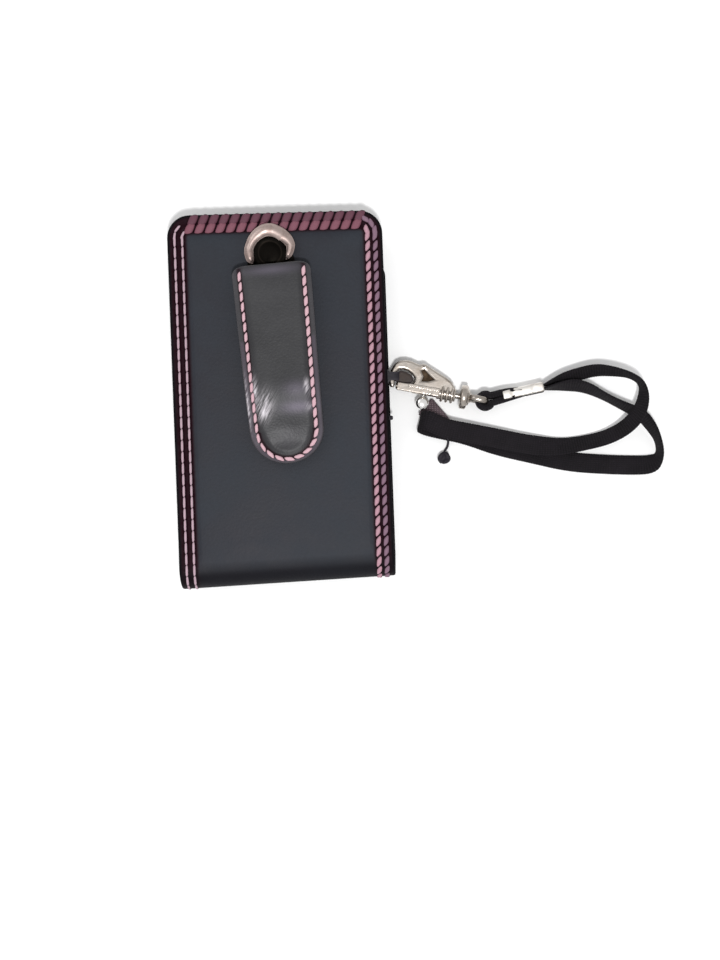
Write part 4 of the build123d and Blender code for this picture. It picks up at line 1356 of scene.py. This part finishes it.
def add_swivel_eye():
    """Riveted shank, stepped collar and an upright eye with rounded limbs."""
    profile = [(-5.4, 0.1), (-5.4, 1.3), (-5.2, 1.5), (-4.6, 1.5), (-4.6, 1.1), (-1.65, 1.1),
               (-1.6, 3.2), (-1.4, 4.0), (-1.1, 4.25), (0.6, 4.25), (0.9, 3.9), (1.1, 2.9), (1.6, 2.7),
               (1.8, 1.8), (2.4, 1.5), (2.4, 0.1)]
    collar = turned_part(in_mm(profile), snap_frame)
    turns = np.linspace(0, 2 * math.pi, 49)[:-1]
    line = np.array([(4.9 * MM + 3.0 * MM * squarish(math.cos(a)), 0, 3.75 * MM * squarish(math.sin(a)))
                     for a in turns])
    inward = np.cross(directions(line, closed=True), (0, 1, 0))
    angles = 2 * math.pi * np.arange(12) / 12
    sections = [np.outer(np.cos(angles) * 0.75 * MM, across) + np.outer(np.sin(angles) * 1.2 * MM, (0, 1, 0))
                for across in inward]
    vertices, faces = swept(line, sections, closed=True)
    eye = [snap_frame @ Vector(v) for v in vertices], faces
    show("swivel_eye_forging", joined(collar, eye), snap_metal, "swivel", ["swivel_eye"])


add_snap_body()
add_snap_recess()
add_tab_fold()
add_bolt_knob()
add_swivel_eye()


# ---- side tab: a leather strip folded round the hook ----
def add_side_tab():
    """The strip leaves the pouch wide, narrows, and goes round the hook's limb and back."""
    limb = snap_frame @ Vector((-26.1 * MM, 2.9 * MM, 0))
    root_x = 32.6 * MM
    fold = 2.15 * MM
    strip = 0.8 * MM
    run = [(root_x, 2.05), (34.5 * MM, 2.1), (limb.x - 1.2 * MM, 2.4)]
    line = [(x, h * MM) for x, h in run]
    loop = [(limb.x + fold * math.sin(a), fold * math.cos(a)) for a in np.linspace(0.25, math.pi - 0.25, 14)]
    line += loop + [(x, -h) for x, h in reversed(line)]
    outer, inner = [], []
    flat = np.array(line)
    tangent = np.gradient(flat, axis=0)
    tangent /= np.linalg.norm(tangent, axis=1)[:, None]
    for (x, h), (tx, th) in zip(flat, tangent):
        near = clamp((limb.x - 2.6 * MM - x) / (1.4 * MM))
        half = (1.15 + 3.4 * near * near * (3 - 2 * near)) * MM
        row_out, row_in = [], []
        for k in range(9):
            y = limb.y + half * (-1 + k / 4)
            row_out.append((x - th * strip / 2, y, snap_frame.translation.z + h + tx * strip / 2))
            row_in.append((x + th * strip / 2, y, snap_frame.translation.z + h - tx * strip / 2))
        outer.append(row_out)
        inner.append(row_in)
    show("side_tab_leather", shell(outer, inner), tab_leather, "pouch", ["side_tab"])


add_side_tab()


# ---- webbing through the eye, its crimp, and the knotted tail ----
def add_eye_loop():
    """A short strap, upright on its edge, that goes round the eye's bar and into the crimp."""
    turn_centre = snap_frame @ Vector((7.6 * MM, 0, 0))
    grip = crimp_frame @ Vector((1.0 * MM, 0, 0))
    deep = crimp_frame @ Vector((7.0 * MM, 0, 0))
    back = (grip - turn_centre)
    back.z = 0
    back.normalize()
    side = UP.cross(back)
    radius = 2.35 * MM
    points = [deep + side * 0.6 * MM, grip + side * 1.15 * MM]
    for a in np.linspace(35, 325, 13):
        angle = math.radians(a)
        points.append(turn_centre + (back * math.cos(angle) + side * math.sin(angle)) * radius)
    points += [grip - side * 1.15 * MM, deep - side * 0.6 * MM]
    line = through([(p.x, p.y, 4.3 * MM) for p in points], 8)
    edge = line + np.array((0, 0, 1.0)) * MM
    sections, uv = ribbon_sections(line, edge, 6.0 * MM, 2.6 * MM)
    loop = show("eye_loop_webbing", swept(line, sections), webbing, "lanyard", ["strap_eye_loop"])
    set_uv(loop, uv)
    return loop


def add_crimp():
    """A strip of metal folded into a channel: its back and two lips, open along one side."""
    length = 14.8 * MM
    wall = 0.5 * MM
    high = 3.7 * MM - wall / 2
    # Half of the section's shape as (depth in mm, share of the height), then its mirror image.
    lower = [(-1.25, -0.82), (-1.05, -1.0), (0.6, -1.0), (1.35, -0.93), (1.6, -0.7)]
    outline = through([*lower, (1.65, 0.0), *[(y, -z) for y, z in reversed(lower)]], 5)
    stations = spaced((0.3 * MM, length - 0.3 * MM, 0.6 * MM))
    outer, inner = [], []
    tangent = np.gradient(outline * (MM, high), axis=0)
    tangent /= np.linalg.norm(tangent, axis=1)[:, None]
    for x in stations:
        press = 0.16 * MM * math.sin(math.pi * x / length) ** 2
        dent = 0.22 * MM * sum(bell(x - at * MM, 0.55 * MM) for at in (3.6, 11.2))
        row_out, row_in = [], []
        for (y, z), (ty, tz) in zip(outline, tangent):
            pinch = press + dent * (abs(z) > 0.9)
            height = math.copysign(max(abs(z) * high - pinch * abs(z), 0.0), z)
            row_out.append((x, y * MM + tz * wall / 2, height - ty * wall / 2))
            row_in.append((x, y * MM - tz * wall / 2, height + ty * wall / 2))
        outer.append(row_out)
        inner.append(row_in)
    shape = shell(placed(outer, crimp_frame), placed(inner, crimp_frame))
    return show("crimp_channel", shape, crimp_metal, "lanyard", ["strap_crimp"])


def add_pressed_ends():
    """The ends of the strap and of the eye's loop, pressed flat inside the crimp."""
    line = np.array([crimp_frame @ Vector((x * MM, -0.8 * MM, 0)) for x in spaced((0.6, 14.6, 0.5))])
    sections, uv = ribbon_sections(line, line + np.array((0, 0, 1.0)) * MM, 6.2 * MM, 2.1 * MM, 0.1 * MM)
    ends = show("pressed_webbing", swept(line, sections), webbing, "lanyard", ["strap_ends"])
    set_uv(ends, uv)
    return ends


def round_thread(line, radius):
    """A round thread along a line in millimetres."""
    line = np.array(line) * MM
    tangent = directions(line)
    side = np.cross(tangent, (0.1, 0.2, 1.0))
    side /= np.linalg.norm(side, axis=1)[:, None]
    over = np.cross(side, tangent)
    angles = 2 * math.pi * np.arange(10) / 10
    sections = [np.outer(np.cos(angles), side[k]) * radius + np.outer(np.sin(angles), over[k]) * radius
                for k in range(len(line))]
    return swept(line, sections)


def add_knotted_tail():
    """A loose thread end from under the strap, tied off in a small overhand knot."""
    hang = through([(57.2, -14.6, 0.9), (57.6, -16.6, 0.9), (57.2, -18.6, 0.8), (56.1, -20.2, 0.9),
                    (55.8, -21.2, 1.2)], 8)
    knot_half = 1.25
    knot = []
    for k in range(46):
        a = 2 * math.pi * 1.5 * k / 45
        knot.append((55.8 + (knot_half + 0.35 * math.cos(1.5 * a)) * math.sin(a),
                     -22.5 + 1.1 * math.cos(a) * knot_half, 1.75 + 0.75 * math.sin(1.5 * a)))
    end = through([(54.9, -23.6, 1.6), (54.3, -24.1, 1.2)], 4)
    core = through([(55.0, -22.9, 1.5), (55.8, -22.4, 1.7), (56.6, -22.0, 1.5)], 4)
    shape = joined(round_thread(hang, 0.42 * MM), round_thread(knot, 0.85 * MM),
                   round_thread(end, 0.5 * MM), round_thread(core, 1.25 * MM))
    tail = show("tail_thread", shape, tail_thread, "lanyard", ["knotted_tail"])
    set_attribute(tail, "crest", [], 0.5)
    set_uv(tail, [(x * 900, y * 900) for x, y, _ in shape[0]])
    return tail


strap_pieces = [add_fold_corner(), add_eye_loop(), add_crimp(), add_pressed_ends(), add_knotted_tail()]


# ---- linings: cloth sheets with a slight pucker ----
def add_lining(name, node, material, corner):
    """A cloth sheet in its CAD node's box, narrower where the gussets stand."""
    low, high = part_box(node)
    across = spaced((low.x + 0.2 * MM, high.x - 0.2 * MM, 2.5 * MM))
    along = spaced((low.y + 0.2 * MM, high.y - 0.2 * MM, 2.5 * MM))
    middle = (low.z + high.z) / 2
    grids = [[], []]
    for y in along:
        for grid, side in zip(grids, (1, -1)):
            row = []
            for x in across:
                wide = rounded_half(high.y - y, corner, high.x)
                if y < front_top:
                    wide = min(wide, 31.2 * MM)
                pucker = noise.noise(Vector((x, y, 7)) * 120) * 0.06 * MM
                row.append((x / high.x * wide, y, middle + side * (high.z - low.z) * 0.42 + pucker))
            grid.append(row)
    return show(name, shell(*grids), material, "pouch", [node])


add_lining("back_lining_cloth", "back_lining", lining_cloth, 7.4 * MM)
front_lining_piece = add_lining("front_lining_cloth", "front_lining", lining_cloth, 0.6 * MM)
cut(front_lining_piece, window_cutter(1.0 * MM, 0.6 * MM, 6 * MM))


# ---- CAD nodes that stay, with their materials ----
def dress(material, *names):
    """CAD nodes that are shown as they are get one material."""
    for name in names:
        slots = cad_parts[name].data.materials
        slots.clear()
        slots.append(material)


dress(board, "back_board", "front_board")
dress(steel_metal, "hinge_pin", "torsion_spring", "bolt_spring", "tongue_plate", "backing_washer",
      "stud_rivet")
dress(snap_metal, "spring_bolt")
dress(black_metal, "friction_washer")
dress(vinyl, "clear_window")


# ---- floor and lights ----
def add_floor():
    """A wide table top of square tiles."""
    half = 6.0
    steps = 12
    places = [-half + 2 * half * k / steps for k in range(steps + 1)]
    vertices = [(x, y, 0.0) for y in places for x in places]
    row = steps + 1
    corners = [j * row + i for j in range(steps) for i in range(steps)]
    faces = [(k, k + 1, k + row + 1, k + row) for k in corners]
    mesh = bpy.data.meshes.new("floor")
    mesh.from_pydata(vertices, [], faces)
    mesh.materials.append(floor_material())
    floor = bpy.data.objects.new("floor", mesh)
    bpy.context.scene.collection.objects.link(floor)


def add_light(name, place, target, size, power):
    """A round white lamp of that diameter in metres and power in watts."""
    data = bpy.data.lights.new(name, "AREA")
    data.shape = "DISK"
    data.size = size
    data.energy = power
    light = bpy.data.objects.new(name, data)
    light.location = place
    light.rotation_euler = (Vector(target) - Vector(place)).to_track_quat("-Z", "Y").to_euler()
    bpy.context.scene.collection.objects.link(light)


def add_world():
    """Even white surroundings, with colours shown as they are."""
    bpy.context.scene.view_settings.view_transform = "Standard"
    world = bpy.data.worlds.new("studio")
    world.use_nodes = True
    world.node_tree.nodes["Background"].inputs["Color"].default_value = (1, 1, 1, 1)
    world.node_tree.nodes["Background"].inputs["Strength"].default_value = 0.68
    bpy.context.scene.world = world


add_floor()
add_light("key", (0.05, -0.25, 0.85), (0.03, -0.02, 0), 0.09, 4.8)
add_light("fill", (-0.6, 0.5, 0.7), (0.03, 0, 0), 0.7, 1.5)
add_world()
